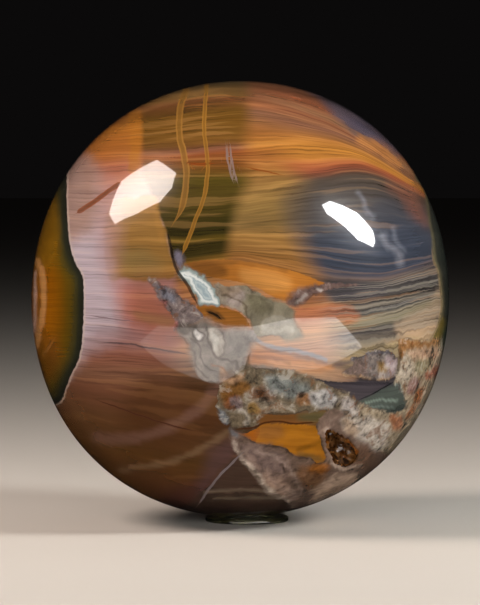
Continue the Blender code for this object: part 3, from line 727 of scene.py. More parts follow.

# Healed cracks, threads and a pit in painted shade, each with its colour, its width and its route.
THREADS = (
    ("left thread", "#94692e", 2.0, 9, (
        (-16.1, 72), (-16.3, 65), (-18.3, 58.7), (-18.7, 50.7), (-17.2, 44.0), (-16.4, 38.1),
        (-17.2, 31), (-18.6, 26.4), (-21.2, 22.0))),
    ("right thread", "#9a6c2a", 1.25, 3, (
        (-17.8, 13.4), (-15.7, 18.8), (-13.3, 25.1), (-11.1, 31.2), (-10.0, 38.2),
        (-10.0, 42.8), (-11.0, 50.7), (-10.8, 59.3), (-9.9, 70))),
    ("rust stroke", "#7a3a02", 1.5, 0.9, ((-49.8, 26.2), (-43.6, 30.6), (-36.4, 35.6))),
    ("grey seam", "#8c7870", 0.5, 2, ((-4.3, 47), (-3.7, 41.2), (-2.2, 35.8))),
    ("second grey seam", "#8c7870", 0.5, 2, ((-3.0, 47.2), (-2.4, 41.2), (-0.8, 35.4))),
    ("orange dash", "#8a4a1c", 0.45, 4, ((1.0, 40.6), (7.0, 39.2), (13.7, 37.6))),
    ("red seam", "#8e4416", 0.9, 3, ((-16.6, 41.7), (-12.0, 41.2), (-7.6, 41.3))),
    ("foot crack", "#8a8084", 0.6, 5, ((-13.6, -64), (-8.2, -56.2), (-3.0, -50.6), (1.4, -46.4))),
    ("mauve crack", "#5c4848", 0.6, 6, (
        (-43.7, -13.2), (-33, -13.8), (-30.6, -14.4), (-23.0, -15.6), (-14.4, -17.3))),
    ("upper mauve crack", "#7a6468", 0.4, 5, ((-47.5, -4.9), (-39.8, -5.9), (-30.8, -7.2))),
    ("low crack", "#522e20", 0.5, 6, ((-45, -30.4), (-33.7, -34.5), (-22, -38.4), (-12.3, -40.6))),
    ("jasper crack", "#50280f", 0.55, 2, (
        (-1.7, -39.8), (4.4, -39.2), (7.1, -37.9), (11.9, -37.3), (16.7, -38.1), (23.1, -37.7))),
    ("black seam", "#241a14", 0.9, 3, (
        (-22.2, 20.6), (-21.2, 16), (-20.8, 13), (-20.0, 10.4), (-18.9, 8.2), (-17.0, 5.6),
        (-14.9, 2.0), (-13.0, -1.9))),
    # The slot pit is a small hole drawn as a near-black stroke: painted shade in place of a hollow.
    ("painted shade of the slot pit", "#1a1410", 0.9, 1.5, ((-10.4, -3.9), (-8.0, -4.6), (-5.6, -6.3))),
    ("teal edge", "#26262a", 0.5, 3, ((35.6, -31.2), (40.4, -29.0), (47.4, -25.0))),
    ("gold rim of the right cap", "#8e7a58", 0.5, 6, (
        (58.4, 18.0), (59.0, 11.9), (60.4, 8.1), (61.2, 2.7), (61.5, -2.4),
        (60.4, -7.5), (59.0, -11.0), (56.6, -13.8))),
    ("wispy line", "#8a6030", 0.5, 3, ((-61, -18.5), (-56.6, -11.8))),
)
BACK_THREADS = (
    ("long back thread", "#946430", 1.3, 8, ((22, 58), (19, 44), (21, 30), (16, 14), (17, 2))),
    ("short back thread", "#8a4a1c", 0.7, 6, ((-38, 6), (-30, 4), (-20, -3), (-12, -4))),
    ("back crack", "#4c3630", 0.5, 8, ((-40, -24), (-24, -28), (-10, -36), (2, -38))),
)
thread_distance = np.full(len(surface), FAR_MM)
thread_side = np.ones(len(surface))
thread_width = np.ones(len(surface))
thread_colour = np.ones((len(surface), 3)) * linear("#a8782c")
for threads, wander, on_back in ((THREADS, 0.0, False), (BACK_THREADS, 0.4, True)):
    for _, colour, width, taper, route in threads:
        distance, side, to_end = measure(route, closed=False, wander=wander, on_back=on_back)
        if on_back:
            distance = np.where(behind > RIM_MARGIN_MM, distance, FAR_MM)
        else:
            distance = distance + FADES_BEHIND * behind
        nearer = distance - width / 2 < thread_distance - thread_width / 2
        thread_distance = np.where(nearer, distance, thread_distance)
        thread_side = np.where(nearer, side, thread_side)
        thread_width = np.where(nearer, width * smooth_step(-0.2, taper, to_end), thread_width)
        thread_colour = np.where(nearer[:, None], linear(colour), thread_colour)

# The pocket. It is a hollow that the silica never filled, opened by the grinding.
POCKET_DIRECTION = unit(np.array((0.453, -0.604, -0.656)))
POCKET_HALF_LENGTH = 11.1
POCKET_HALF_WIDTH = 3.5
POCKET_DEPTH = 7.0
POCKET_TURN = math.radians(50)
POCKET_TAPER = 0.38
POCKET_LUMP_SIZE = 3.4
POCKET_LUMP_HEIGHT = 0.8
POCKET_REACH_MM = 6
OUTSIDE_POCKET = 9.0
WALL_SHARE = 0.97
level = unit(np.cross((0, 0, -1), POCKET_DIRECTION))
steep = np.cross(POCKET_DIRECTION, level)
pocket_across = level * math.cos(POCKET_TURN) + steep * math.sin(POCKET_TURN)
pocket_along = np.cross(POCKET_DIRECTION, pocket_across)
pocket_middle = POCKET_DIRECTION * stone_radius(POCKET_DIRECTION[None])[0]
offset = surface - pocket_middle
place_along = offset @ pocket_along / POCKET_HALF_LENGTH
half_width_there = POCKET_HALF_WIDTH * (1 + POCKET_TAPER * np.clip(place_along, -1, 1))
place_across = offset @ pocket_across / half_width_there
mouth = np.hypot(place_across, place_along) + 0.05 * lumpy(1.6, seed=8) + 0.05 * lumpy(3.4, seed=9)
mouth = np.where(offset @ POCKET_DIRECTION > -POCKET_REACH_MM, mouth, OUTSIDE_POCKET)
sunk = (POCKET_DEPTH + POCKET_LUMP_HEIGHT) * np.sqrt(np.clip(1 - (mouth / WALL_SHARE) ** 2, 0, 1))
surface = surface - POCKET_DIRECTION * sunk[:, None]

stone_mesh.vertices.foreach_set("co", ((surface + stone_middle) / MM_PER_M).astype(np.float32).ravel())
stone_mesh.shade_smooth()


def keep(mesh, name, values):
    """Stores a number or a colour at each of a mesh's points, for its material to read."""
    values = np.asarray(values, float)
    if values.ndim == 1:
        field, kind = "value", "FLOAT"
    else:
        field, kind = "color", "FLOAT_COLOR"
        values = np.hstack((np.clip(values, 0, 1), np.ones((len(values), 1))))
    attribute = mesh.attributes.new(name, kind, "POINT")
    attribute.data.foreach_set(field, values.astype(np.float32).ravel())


RUN_BEHIND = 0.7
MOST_MM = 20
stone_numbers = {
    "bed": bed,
    "run": across + RUN_BEHIND * behind,
    "stripe": stripe,
    "bold": bold,
    "grain": grain,
    "mouth": mouth,
    "thread_width": thread_width,
    "thread_distance": np.clip(thread_distance, 0, MOST_MM),
    "thread_offset": np.clip(thread_distance, 0, MOST_MM) * thread_side,
    "patch_depth": np.clip(patch_depth, -MOST_MM, MOST_MM),
    "left_cap": np.clip(left_cap, -MOST_MM, MOST_MM),
    "crystal_depth": np.clip(crystal_depth, -MOST_MM, MOST_MM),
    "chalcedony": np.clip(chalcedony, -MOST_MM, MOST_MM),
}
stone_colours = {
    "ground": ground,
    "patch_colour": patch_colour,
    "crystal_colour": crystal_colour,
    "thread_colour": thread_colour,
}
for name, values in (stone_numbers | stone_colours).items():
    keep(stone_mesh, name, values)


def empty_material(name):
    material = bpy.data.materials.new(name)
    material.use_nodes = True
    material.node_tree.nodes.clear()
    return material, material.node_tree


def shade(colour):
    return (*linear(colour), 1)


def add(tree, kind, inputs=(), output=0, stops=(), **settings):
    """Adds a node with its settings, sets or links its inputs, and gives one of its outputs.

    Inputs come in order or by name, and one may take a list of links. Stops are a colour ramp's.
    """
    node = tree.nodes.new(kind)
    for name, value in settings.items():
        setattr(node, name, value)
    for name, value in inputs.items() if isinstance(inputs, dict) else enumerate(inputs):
        if isinstance(value, (bpy.types.NodeSocket, list)):
            for source in value if isinstance(value, list) else [value]:
                tree.links.new(source, node.inputs[name])
        else:
            node.inputs[name].default_value = value
    for number, (place, colour) in enumerate(stops):
        ramp = node.color_ramp.elements
        stop = ramp[number] if number < 2 else ramp.new(place)
        stop.position = place
        stop.color = shade(colour)
    return node.outputs[output] if node.outputs else None


MATH, RANGE, VECTOR_MATH = "ShaderNodeMath", "ShaderNodeMapRange", "ShaderNodeVectorMath"


def layer(tree, base, fill, strength, *limits, by=1.0):
    """Lays a fill over a base. Its share rises to its strength as each value goes from low to high."""
    share = by
    for value, low, high in limits:
        inputs = {0: value, 1: low, 2: high, 4: strength}
        rise = add(tree, RANGE, inputs, interpolation_type="SMOOTHSTEP")
        share = add(tree, MATH, (rise, share), operation="MULTIPLY")
        strength = 1.0
    return add(tree, "ShaderNodeMix", {0: share, 6: base, 7: fill}, output=2, data_type="RGBA")


# Polished agate: quartz of fine grain, cut flat and buffed to a gloss. The eye gets sharp
# reflections over a pattern that lies just under the surface.
agate, tree = empty_material("polished_agate_and_jasper")
pattern = {}
for names, output in ((stone_numbers, "Fac"), (stone_colours, "Color")):
    for name in names:
        pattern[name] = add(tree, "ShaderNodeAttribute", output=output, attribute_name=name)

# Cloudy mottling of several kinds: the size of its lumps in mm, detail, roughness, distortion.
place = add(tree, "ShaderNodeTexCoord", output="Object")
for name, size_mm, detail, roughness, distortion in (
    ("fine", 1.1, 2, 0.55, 0.0),
    ("middling", 4.5, 3, 0.55, 0.0),
    ("broad", 16.0, 2, 0.55, 0.0),
    ("salt", 1.5, 3, 0.65, 0.0),
    ("cloud", 4.2, 6, 0.63, 0.5),
    ("swirl", 6.0, 4, 0.6, 2.0),
):
    pattern[name] = add(tree, "ShaderNodeTexNoise", {
        "Vector": place, "Scale": MM_PER_M / size_mm, "Detail": detail, "Roughness": roughness,
        "Distortion": distortion,
    })

# Streaks along the beds, which waver a little: their length in mm, how many lie in one bed, and
# their detail.
centred = add(tree, MATH, (pattern["middling"], 0.5), operation="SUBTRACT")
waver = add(tree, MATH, (pattern["bold"], 0.2, 0.1), operation="MULTIPLY_ADD")
wavy_bed = add(tree, MATH, (centred, waver, pattern["bed"]), operation="MULTIPLY_ADD")
along_beds = add(tree, "ShaderNodeCombineXYZ", (pattern["run"], wavy_bed))
for name, length_mm, per_bed, detail in (
    ("wide_streaks", 45.0, 2.6, 2),
    ("fine_streaks", 26.0, 10.0, 3),
    ("thin_streaks", 34.0, 6.5, 1),
):
    inputs = (along_beds, (1 / length_mm, per_bed, 0.0))
    stretched = add(tree, VECTOR_MATH, inputs, operation="MULTIPLY")
    inputs = {"Vector": stretched, "Scale": 1.0, "Detail": detail, "Roughness": 0.6}
    pattern[name] = add(tree, "ShaderNodeTexNoise", inputs, noise_dimensions="2D")

fine_tone = add(tree, RANGE, (pattern["fine_streaks"], 0.25, 0.75, -0.35, 0.35))
wide_tone = add(tree, RANGE, (pattern["wide_streaks"], 0.3, 0.7, -0.3, 0.3))
tone = add(tree, MATH, (fine_tone, wide_tone), operation="ADD")
tone = add(tree, MATH, (tone, pattern["stripe"], 1.0), operation="MULTIPLY_ADD")
colour_now = add(tree, VECTOR_MATH, {0: pattern["ground"], "Scale": tone}, operation="SCALE")
for fill, strength, by, value, low, high in (
    ("#c8945a", 0.18, "stripe", "wide_streaks", 0.56, 0.64),
    ("#3a2818", 0.45, "stripe", "fine_streaks", 0.40, 0.30),
    ("#9c9384", 0.34, "bold", "thin_streaks", 0.48, 0.62),
    ("#322e2e", 0.30, "bold", "thin_streaks", 0.48, 0.36),
):
    limits = (pattern[value], low, high)
    colour_now = layer(tree, colour_now, shade(fill), strength, limits, by=pattern[by])

# Solid patches: the caps, the ochre block and the jasper, with crisp, slightly ragged edges.
ragged = add(tree, MATH, (pattern["fine"], 0.8, -0.4), operation="MULTIPLY_ADD")
patch_edge, cap_edge = (
    add(tree, MATH, (pattern[name], ragged), operation="ADD")
    for name in ("patch_depth", "left_cap")
)
fine_tone = add(tree, RANGE, (pattern["fine_streaks"], 0.25, 0.75, 0.8, 1.2))
broad_tone = add(tree, RANGE, (pattern["broad"], 0.3, 0.7, 0.85, 1.15))
tone = add(tree, MATH, (fine_tone, broad_tone), operation="MULTIPLY")
patch_fill = add(tree, VECTOR_MATH, {0: pattern["patch_colour"], "Scale": tone}, operation="SCALE")
colour_now = layer(tree, colour_now, patch_fill, 1.0, (patch_edge, -0.15, 0.15))
pale_rim = shade("#c4b2a4")
colour_now = layer(tree, colour_now, pale_rim, 0.5, (cap_edge, -0.8, -0.3), (cap_edge, 0.05, -0.15))

# Crystalline agate: grains of quartz of a millimetre or so, with dark clouds among them.
graininess, cloud = pattern["grain"], pattern["cloud"]
cloud_swing = add(tree, RANGE, (cloud, 0.3, 0.7, -0.75, 0.75))
cloud_amount = add(tree, RANGE, (graininess, 0.2, 0.9, 0.6, 1.0))
salt_swing = add(tree, RANGE, (pattern["salt"], 0.3, 0.7, -0.4, 0.42))
tone = add(tree, MATH, (cloud_swing, cloud_amount, 1.05), operation="MULTIPLY_ADD")
tone = add(tree, MATH, (salt_swing, graininess, tone), operation="MULTIPLY_ADD")
tone = add(tree, MATH, (tone, 0.12), operation="MAXIMUM")
crystal_fill = add(tree, VECTOR_MATH, {0: pattern["crystal_colour"], "Scale": tone}, operation="SCALE")
for fill, strength, value, low, high, least_grain in (
    ("#7c4a22", 0.45, "swirl", 0.56, 0.64, 0.4),
    ("#b8b2a8", 0.45, "cloud", 0.56, 0.66, 0.2),
    ("#2c2018", 0.5, "cloud", 0.42, 0.34, 0.2),
):
    limits = (pattern[value], low, high), (graininess, least_grain, 0.9)
    crystal_fill = layer(tree, crystal_fill, shade(fill), strength, *limits)

# Its edge is rough where the grain is coarse, and soft where it is fine.
rough = add(tree, MATH, (cloud, 5.0, -2.5), operation="MULTIPLY_ADD")
roughness = add(tree, RANGE, (graininess, 0.2, 0.9, 0.55, 1.0))
crystal_edge = add(tree, MATH, (rough, roughness, pattern["crystal_depth"]), operation="MULTIPLY_ADD")
inputs = (pattern["broad"], 0.35, 0.65, 0.15, 0.8)
broad_softness = add(tree, RANGE, inputs, interpolation_type="SMOOTHSTEP")
grain_softness = add(tree, RANGE, (graininess, 0.2, 0.9, 2.2, 1.0))
softness = add(tree, MATH, (broad_softness, grain_softness), operation="MULTIPLY")
soft_edge = add(tree, MATH, (crystal_edge, softness), operation="DIVIDE")
colour_now = layer(tree, colour_now, crystal_fill, 1.0, (soft_edge, -1.0, 1.0))
limits = (crystal_edge, -0.5, -0.1), (crystal_edge, 0.6, 0.1), (pattern["middling"], 0.42, 0.6)
colour_now = layer(tree, colour_now, shade("#382a20"), 0.35, *limits)

# Banded chalcedony: thin shells of silica that follow the shape of the hollow they lined.
wander = add(tree, MATH, (cloud, 3.0, -1.0), operation="MULTIPLY_ADD")
shell_depth = add(tree, MATH, (pattern["chalcedony"], wander), operation="ADD")
shells = add(
    tree, "ShaderNodeValToRGB", {0: add(tree, RANGE, {0: shell_depth, 2: 4.0})},
    stops=(
        (0.0, "#6e685c"), (1.0, "#aab8ba"), (0.1, "#808c88"), (0.22, "#96a4a2"), (0.32, "#d2d6d2"),
        (0.42, "#dadedb"), (0.52, "#9cacb0"), (0.6, "#b4c0c2"), (0.74, "#94a4aa"),
    ),
)
colour_now = layer(tree, colour_now, shells, 1.0, (shell_depth, -0.6, 0.6))

# Threads: thin veins, darker along the middle than at both sides.
jitter = add(tree, MATH, (pattern["middling"], 0.8, -0.4), operation="MULTIPLY_ADD")
from_thread = add(tree, MATH, (pattern["thread_offset"], jitter), operation="ADD")
from_thread = add(tree, MATH, {0: from_thread}, operation="ABSOLUTE")
half_thread = add(tree, MATH, (pattern["thread_width"], 0.5), operation="MULTIPLY")
past_edge = add(tree, MATH, (from_thread, half_thread), operation="SUBTRACT")
to_edge = add(tree, MATH, (from_thread, half_thread), operation="DIVIDE")
core = add(tree, RANGE, (to_edge, 0.35, 0.75, 0.72, 1.12), interpolation_type="SMOOTHSTEP")
thread_fill = add(tree, VECTOR_MATH, {0: pattern["thread_colour"], "Scale": core}, operation="SCALE")
patchy = add(tree, RANGE, (pattern["broad"], 0.3, 0.7, 0.95, 0.72), interpolation_type="SMOOTHSTEP")
limits = (past_edge, 0.15, -0.15), (pattern["thread_distance"], 2.2, 1.8)
colour_now = layer(tree, colour_now, thread_fill, 1.0, *limits, by=patchy)

# The pocket's wall is dark with iron, and matt, where no crystal covers it.
colour_now = layer(tree, colour_now, shade("#2e1c0e"), 1.0, (pattern["mouth"], 1.04, 0.94))
in_pocket = add(tree, RANGE, (pattern["mouth"], 1.04, 0.94), interpolation_type="SMOOTHSTEP")
polish = add(tree, RANGE, {0: in_pocket, 3: 0.25, 4: 0.6}, interpolation_type="SMOOTHSTEP")

# Coarse grain undercuts a little in the buffing.
inside = add(tree, RANGE, {0: crystal_edge, 2: 0.4}, interpolation_type="SMOOTHSTEP")
relief = add(tree, MATH, (pattern["salt"], graininess), operation="MULTIPLY")
relief = add(tree, MATH, (relief, inside), operation="MULTIPLY")
bump = add(tree, "ShaderNodeBump", {"Strength": 0.3, "Distance": 0.0003, "Height": relief})
shader = add(tree, "ShaderNodeBsdfPrincipled", {
    "Base Color": colour_now, "Roughness": polish, "IOR": 1.54, "Specular IOR Level": 0.1,
    "Normal": bump, "Coat Weight": 1.0, "Coat Roughness": 0.02, "Coat IOR": 1.54,
})
add(tree, "ShaderNodeOutputMaterial", {"Surface": shader})

# Smooth shading over flat faces needs this to keep the edge of a shadow clean.
TERMINATOR_OFFSET = 0.2


def show(name, mesh, material, slot, *replaced):
    """Puts a finished piece into the scene, in place of the solids that it stands for."""
    mesh.materials.clear()
    mesh.materials.append(material)
    piece = bpy.data.objects.new(name, mesh)
    piece.cycles.shadow_terminator_geometry_offset = TERMINATOR_OFFSET
    piece.cycles.shadow_terminator_offset = TERMINATOR_OFFSET
    bpy.context.scene.collection.objects.link(piece)
    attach(piece, "root")
    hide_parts(*replaced)
    return piece


show("polished_agate_sphere", stone_mesh, agate, "agate", "agate_stone")

# The pocket's crust. Quartz grew on the wall as a thin shell and closed it with small points,
# brown from iron, that the grinding cut level with the stone.
CRUST_OUTSET = 0.5
CRUST_THICKNESS = 0.9
CRUST_BELOW_POLISH = 0.06
CRUST_COLUMNS = 96
CRUST_ROWS = 30
CRUST_TOP = 0.22


def pocket_wall(direction, inset):
    """A point of the pocket's lumpy wall, in the stone's axes, in mm from its middle."""
    side, along, out = direction
    wall = Vector((
        side * POCKET_HALF_WIDTH * (1 + POCKET_TAPER * along), along * POCKET_HALF_LENGTH,
        out * POCKET_DEPTH,
    ))
    wall += Vector(direction) * (noise.noise(wall / POCKET_LUMP_SIZE) * POCKET_LUMP_HEIGHT - inset)
    point = pocket_middle + wall.x * pocket_across + wall.y * pocket_along + wall.z * POCKET_DIRECTION
    limit = stone_radius(unit(point)[None])[0] - CRUST_BELOW_POLISH
    return Vector(point * min(1.0, limit / np.linalg.norm(point)))


def crust_sheet(mesh, inset):
    """One side of the shell, from the deepest point up to the mouth."""
    rows = []
    deepest = mesh.verts.new(pocket_wall((0.0, 0.0, -1.0), inset))
    for row in range(1, CRUST_ROWS + 1):
        out = -math.cos((math.pi / 2 + CRUST_TOP) * row / CRUST_ROWS)
        reach = math.sqrt(1 - out * out)
        rows.append([
            mesh.verts.new(pocket_wall((reach * math.cos(turn), reach * math.sin(turn), out), inset))
            for turn in (2 * math.pi * column / CRUST_COLUMNS for column in range(CRUST_COLUMNS))
        ])
    for column in range(CRUST_COLUMNS):
        beside = (column + 1) % CRUST_COLUMNS
        mesh.faces.new((deepest, rows[0][column], rows[0][beside]))
        for low, high in zip(rows, rows[1:]):
            mesh.faces.new((low[column], high[column], high[beside], low[beside]))
    return rows[-1]


def put_in_frame(mesh):
    """Takes a mesh from millimetres about the stone's middle to metres in the frame."""
    scale = Matrix.Diagonal((1 / MM_PER_M, 1 / MM_PER_M, 1 / MM_PER_M, 1))
    bmesh.ops.transform(mesh, matrix=scale, verts=mesh.verts[:])
    bmesh.ops.translate(mesh, vec=Vector(stone_middle / MM_PER_M), verts=mesh.verts[:])


shell = bmesh.new()
outer_lip = crust_sheet(shell, -CRUST_OUTSET)
inner_lip = crust_sheet(shell, CRUST_THICKNESS - CRUST_OUTSET)
for column in range(CRUST_COLUMNS):
    beside = (column + 1) % CRUST_COLUMNS
    shell.faces.new((outer_lip[column], inner_lip[column], inner_lip[beside], outer_lip[beside]))
bmesh.ops.recalc_face_normals(shell, faces=shell.faces[:])
put_in_frame(shell)
crust_mesh = bpy.data.meshes.new("quartz_crust")
shell.to_mesh(crust_mesh)
shell.free()

# Drusy quartz: glassy points a millimetre high, brown with iron at the root and paler at the
# tip. The eye gets small bright facets over a dark hollow.
druse, tree = empty_material("drusy_quartz")
place = add(tree, "ShaderNodeTexCoord", output="Object")
tint = shade("#46260a")
for fill, size_mm, detail, low, high in (
    ("#8a6238", 2.2, 3, 0.4, 0.7),
    ("#7a4414", 5.0, 2, 0.55, 0.7),
):
    lumps = add(tree, "ShaderNodeTexNoise", {
        "Vector": place, "Scale": MM_PER_M / size_mm, "Detail": detail, "Roughness": 0.55,
    })
    tint = layer(tree, tint, shade(fill), 1.0, (lumps, low, high))
shader = add(tree, "ShaderNodeBsdfPrincipled", {
    "Base Color": tint, "Roughness": 0.18, "IOR": 1.54, "Coat Weight": 0.3, "Coat Roughness": 0.05,
})
add(tree, "ShaderNodeOutputMaterial", {"Surface": shader})

POINT_SPACING = 0.00055
POINT_DENSITY = 4.0e6
POINT_WIDTH = 0.00036
POINT_HEIGHT = 0.00045
LINING_INSET = 0.05
points_tree = bpy.data.node_groups.new("quartz_points", "GeometryNodeTree")
interface = points_tree.interface
interface.new_socket("Geometry", in_out="INPUT", socket_type="NodeSocketGeometry")
spacing = interface.new_socket("Spacing", in_out="INPUT", socket_type="NodeSocketFloat")
point_width = interface.new_socket("Point width", in_out="INPUT", socket_type="NodeSocketFloat")
point_height = interface.new_socket("Point height", in_out="INPUT", socket_type="NodeSocketFloat")
interface.new_socket("Geometry", in_out="OUTPUT", socket_type="NodeSocketGeometry")
given = add(points_tree, "NodeGroupInput").node.outputs
width, height = given["Point width"], given["Point height"]
scattered = add(points_tree, "GeometryNodeDistributePointsOnFaces", {
    "Mesh": given["Geometry"], "Distance Min": given["Spacing"], "Density Max": POINT_DENSITY,
    "Seed": 4,
}, distribute_method="POISSON")
prism = add(points_tree, "GeometryNodeMeshCone", {
    "Vertices": 6, "Side Segments": 1, "Radius Top": width, "Radius Bottom": width, "Depth": height,
})
tip = add(points_tree, "GeometryNodeMeshCone", {
    "Vertices": 6, "Side Segments": 1, "Radius Top": 0.0, "Radius Bottom": width, "Depth": height,
})
raised = add(points_tree, "ShaderNodeCombineXYZ", {2: height})
tip_up = add(points_tree, "GeometryNodeTransform", {"Geometry": tip, "Translation": raised})
crystal = add(points_tree, "GeometryNodeJoinGeometry", {0: [prism, tip_up]})
lean = add(points_tree, "FunctionNodeRandomValue", {
    0: (-0.35, -0.35, 0.0), 1: (0.35, 0.35, 3.14), "Seed": 1,
}, data_type="FLOAT_VECTOR")
leaning = add(points_tree, "FunctionNodeRotateRotation", {
    "Rotation": scattered.node.outputs["Rotation"], "Rotate By": lean,
}, rotation_space="LOCAL")
size = add(points_tree, "FunctionNodeRandomValue", {2: 0.6, 3: 1.5, "Seed": 2}, output=1)
grown = add(points_tree, "GeometryNodeInstanceOnPoints", {
    "Points": scattered, "Instance": crystal, "Rotation": leaning, "Scale": size,
})
solid = add(points_tree, "GeometryNodeRealizeInstances", {"Geometry": grown})
dressed = add(points_tree, "GeometryNodeSetMaterial", {"Geometry": solid, "Material": druse})
add(points_tree, "NodeGroupOutput", {0: dressed})

lining = bmesh.new()
crust_sheet(lining, CRUST_THICKNESS - CRUST_OUTSET + LINING_INSET)
bmesh.ops.reverse_faces(lining, faces=lining.faces[:])
put_in_frame(lining)
lining_mesh = bpy.data.meshes.new("pocket_lining")
lining.to_mesh(lining_mesh)
lining.free()
lining_piece = bpy.data.objects.new("pocket_lining", lining_mesh)
bpy.context.scene.collection.objects.link(lining_piece)
grow = lining_piece.modifiers.new("grow", "NODES")
grow.node_group = points_tree
grow[spacing.identifier] = POINT_SPACING
grow[point_width.identifier] = POINT_WIDTH
grow[point_height.identifier] = POINT_HEIGHT
ready = lining_piece.evaluated_get(bpy.context.evaluated_depsgraph_get())
points_mesh = bpy.data.meshes.new_from_object(ready)
bpy.data.objects.remove(lining_piece)
both = bmesh.new()
both.from_mesh(crust_mesh)
both.from_mesh(points_mesh)
middle = Vector(stone_middle / MM_PER_M)
outward = unit(np.array([corner.co - middle for corner in both.verts]))
corner_limit = (stone_radius(outward) - CRUST_BELOW_POLISH) / MM_PER_M
for corner, limit in zip(both.verts, corner_limit):
    reach = corner.co - middle
    corner.co = middle + reach * min(1.0, limit / reach.length)
both.to_mesh(crust_mesh)
both.free()
show("quartz_crust", crust_mesh, druse, "drusy_quartz", "crystal_crust")

# The display ring. It is turned from clear cast acrylic, with rounded edges that were flamed.
RING_STEPS = 160
RING_BORE = 0.0088
EDGE_RADIUS = 0.00045
EDGE_STEPS = 6
ring_low, ring_high = (Vector(corner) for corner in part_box("display_ring"))
ring_middle = (ring_low + ring_high) / 2
ring_outer = (ring_high.x - ring_low.x) / 2
profile = []
for corner_reach, corner_height, first_turn in (
    (ring_outer - EDGE_RADIUS, ring_low.z + EDGE_RADIUS, -90),
    (ring_outer - EDGE_RADIUS, ring_high.z - EDGE_RADIUS, 0),
    (RING_BORE + EDGE_RADIUS, ring_high.z - EDGE_RADIUS, 90),
    (RING_BORE + EDGE_RADIUS, ring_low.z + EDGE_RADIUS, 180),
):
    for step in range(EDGE_STEPS + 1):
        turn = math.radians(first_turn + 90 * step / EDGE_STEPS)
        profile.append((
            corner_reach + EDGE_RADIUS * math.cos(turn), corner_height + EDGE_RADIUS * math.sin(turn),
        ))
ring = bmesh.new()
loops = []
for step in range(RING_STEPS):
    turn = 2 * math.pi * step / RING_STEPS
    way = Vector((math.cos(turn), math.sin(turn)))
    loops.append([
        ring.verts.new((*(ring_middle.xy + reach * way), height)) for reach, height in profile
    ])
for loop, beside in zip(loops, loops[1:] + loops[:1]):
    for number in range(len(profile)):
        following = (number + 1) % len(profile)
        ring.faces.new((loop[number], beside[number], beside[following], loop[following]))
bmesh.ops.recalc_face_normals(ring, faces=ring.faces[:])
ring_mesh = bpy.data.meshes.new("clear_ring")
ring.to_mesh(ring_mesh)
ring.free()
ring_mesh.shade_smooth()

# Cast acrylic: water-clear with a faint yellow-green edge. The eye gets thin bright lines.
acrylic, tree = empty_material("clear_cast_acrylic")
place = add(tree, "ShaderNodeTexCoord", output="Object")
lumps = add(tree, "ShaderNodeTexNoise", {
    "Vector": place, "Scale": MM_PER_M / 0.8, "Detail": 3, "Roughness": 0.55,
})
scuffs = add(tree, RANGE, (lumps, 0.55, 0.75, 0.02, 0.09), interpolation_type="SMOOTHSTEP")
shader = add(tree, "ShaderNodeBsdfPrincipled", {
    "Base Color": shade("#d9dcae"), "Roughness": scuffs, "IOR": 1.49, "Transmission Weight": 1.0,
})
add(tree, "ShaderNodeOutputMaterial", {"Surface": shader})
show("clear_ring", ring_mesh, acrylic, "clear_acrylic", "display_ring")

# The floor is a wide pale sheet of matt paper.
bpy.ops.mesh.primitive_plane_add(size=40.0)
floor = bpy.context.active_object
floor.name = "pale_floor"
floor.visible_glossy = False
paper, tree = empty_material("matt_paper")
shader = add(tree, "ShaderNodeBsdfPrincipled", {
    "Base Color": shade("#cfc8be"), "Roughness": 0.9, "Specular IOR Level": 0.0,
})
add(tree, "ShaderNodeOutputMaterial", {"Surface": shader})
floor.data.materials.append(paper)

# Soft boxes. Each is a lit panel, set where its reflection falls on the stone at these places.
# Each place has its share of the panel's light, and the middle of the panel is the brightest.
SOFT_BOXES = (
    ("left_box", 0.65, 15.0, "#fff0e8", (
        (-25.5, 42.5, 0.75), (-19.6, 38.5, 0.9), (-20.9, 33.9, 0.9), (-24.5, 29.6, 0.9),
        (-31.6, 26.0, 0.8), (-38.3, 22.9, 0.8), (-40.1, 26.0, 0.8), (-36.5, 35.8, 0.65))),
    ("right_box", 0.65, 34.0, "#ffffff", (
        (25.0, 28.7, 1), (27.4, 29.9, 1), (35.7, 26.3, 1), (40.5, 20.8, 1), (41.2, 17.4, 1),
        (40.5, 15.9, 1), (36.0, 18.0, 1), (26.5, 26.0, 1))),
    ("lower_left_card", 0.5, 2.6, "#fff4ec", (
        (-31.0, -13.4, 0.35), (-25.1, -8.1, 0.5), (2.4, -8.4, 1), (2.8, -16.0, 1),
        (1.0, -21.5, 0.8), (-5.6, -25.4, 0.9), (-8.6, -25.7, 0.8), (-12.3, -24.6, 0.6),
        (-23.6, -19.9, 0.3))),
    ("lower_right_card", 0.5, 4.4, "#fff8f6", (
        (2.4, -8.6, 0.8), (16.1, -5.8, 0.9), (29.2, -5.5, 1), (33.5, -10.1, 1), (37.4, -14.7, 0.9),
        (31.1, -18.3, 0.7), (23.7, -21.4, 0.3), (3.0, -20.5, 0.3))),
)

REFINEMENTS = 8
SLOPE_STEP_MM = 0.01


def reflected(spot_across, spot_above):
    """The point seen there on the stone, and the way a ray from the camera leaves it."""
    eye = toward_viewer * VIEW_DISTANCE_MM
    ray = unit(np.array((spot_across, 0, 0)) + spot_above * up_in_view - eye)
    toward = eye @ ray
    point = eye
    for _ in range(REFINEMENTS):
        radius = stone_radius(unit(point)[None])[0]
        point = eye - ray * (toward + math.sqrt(toward**2 - VIEW_DISTANCE_MM**2 + radius**2))
    steps = point + SLOPE_STEP_MM * np.eye(3)
    rise = np.linalg.norm(steps, axis=1) - stone_radius(unit(steps))
    normal = Vector(rise - (np.linalg.norm(point) - stone_radius(unit(point)[None])[0])).normalized()
    return middle + Vector(point) / MM_PER_M, Vector(ray).reflect(normal)


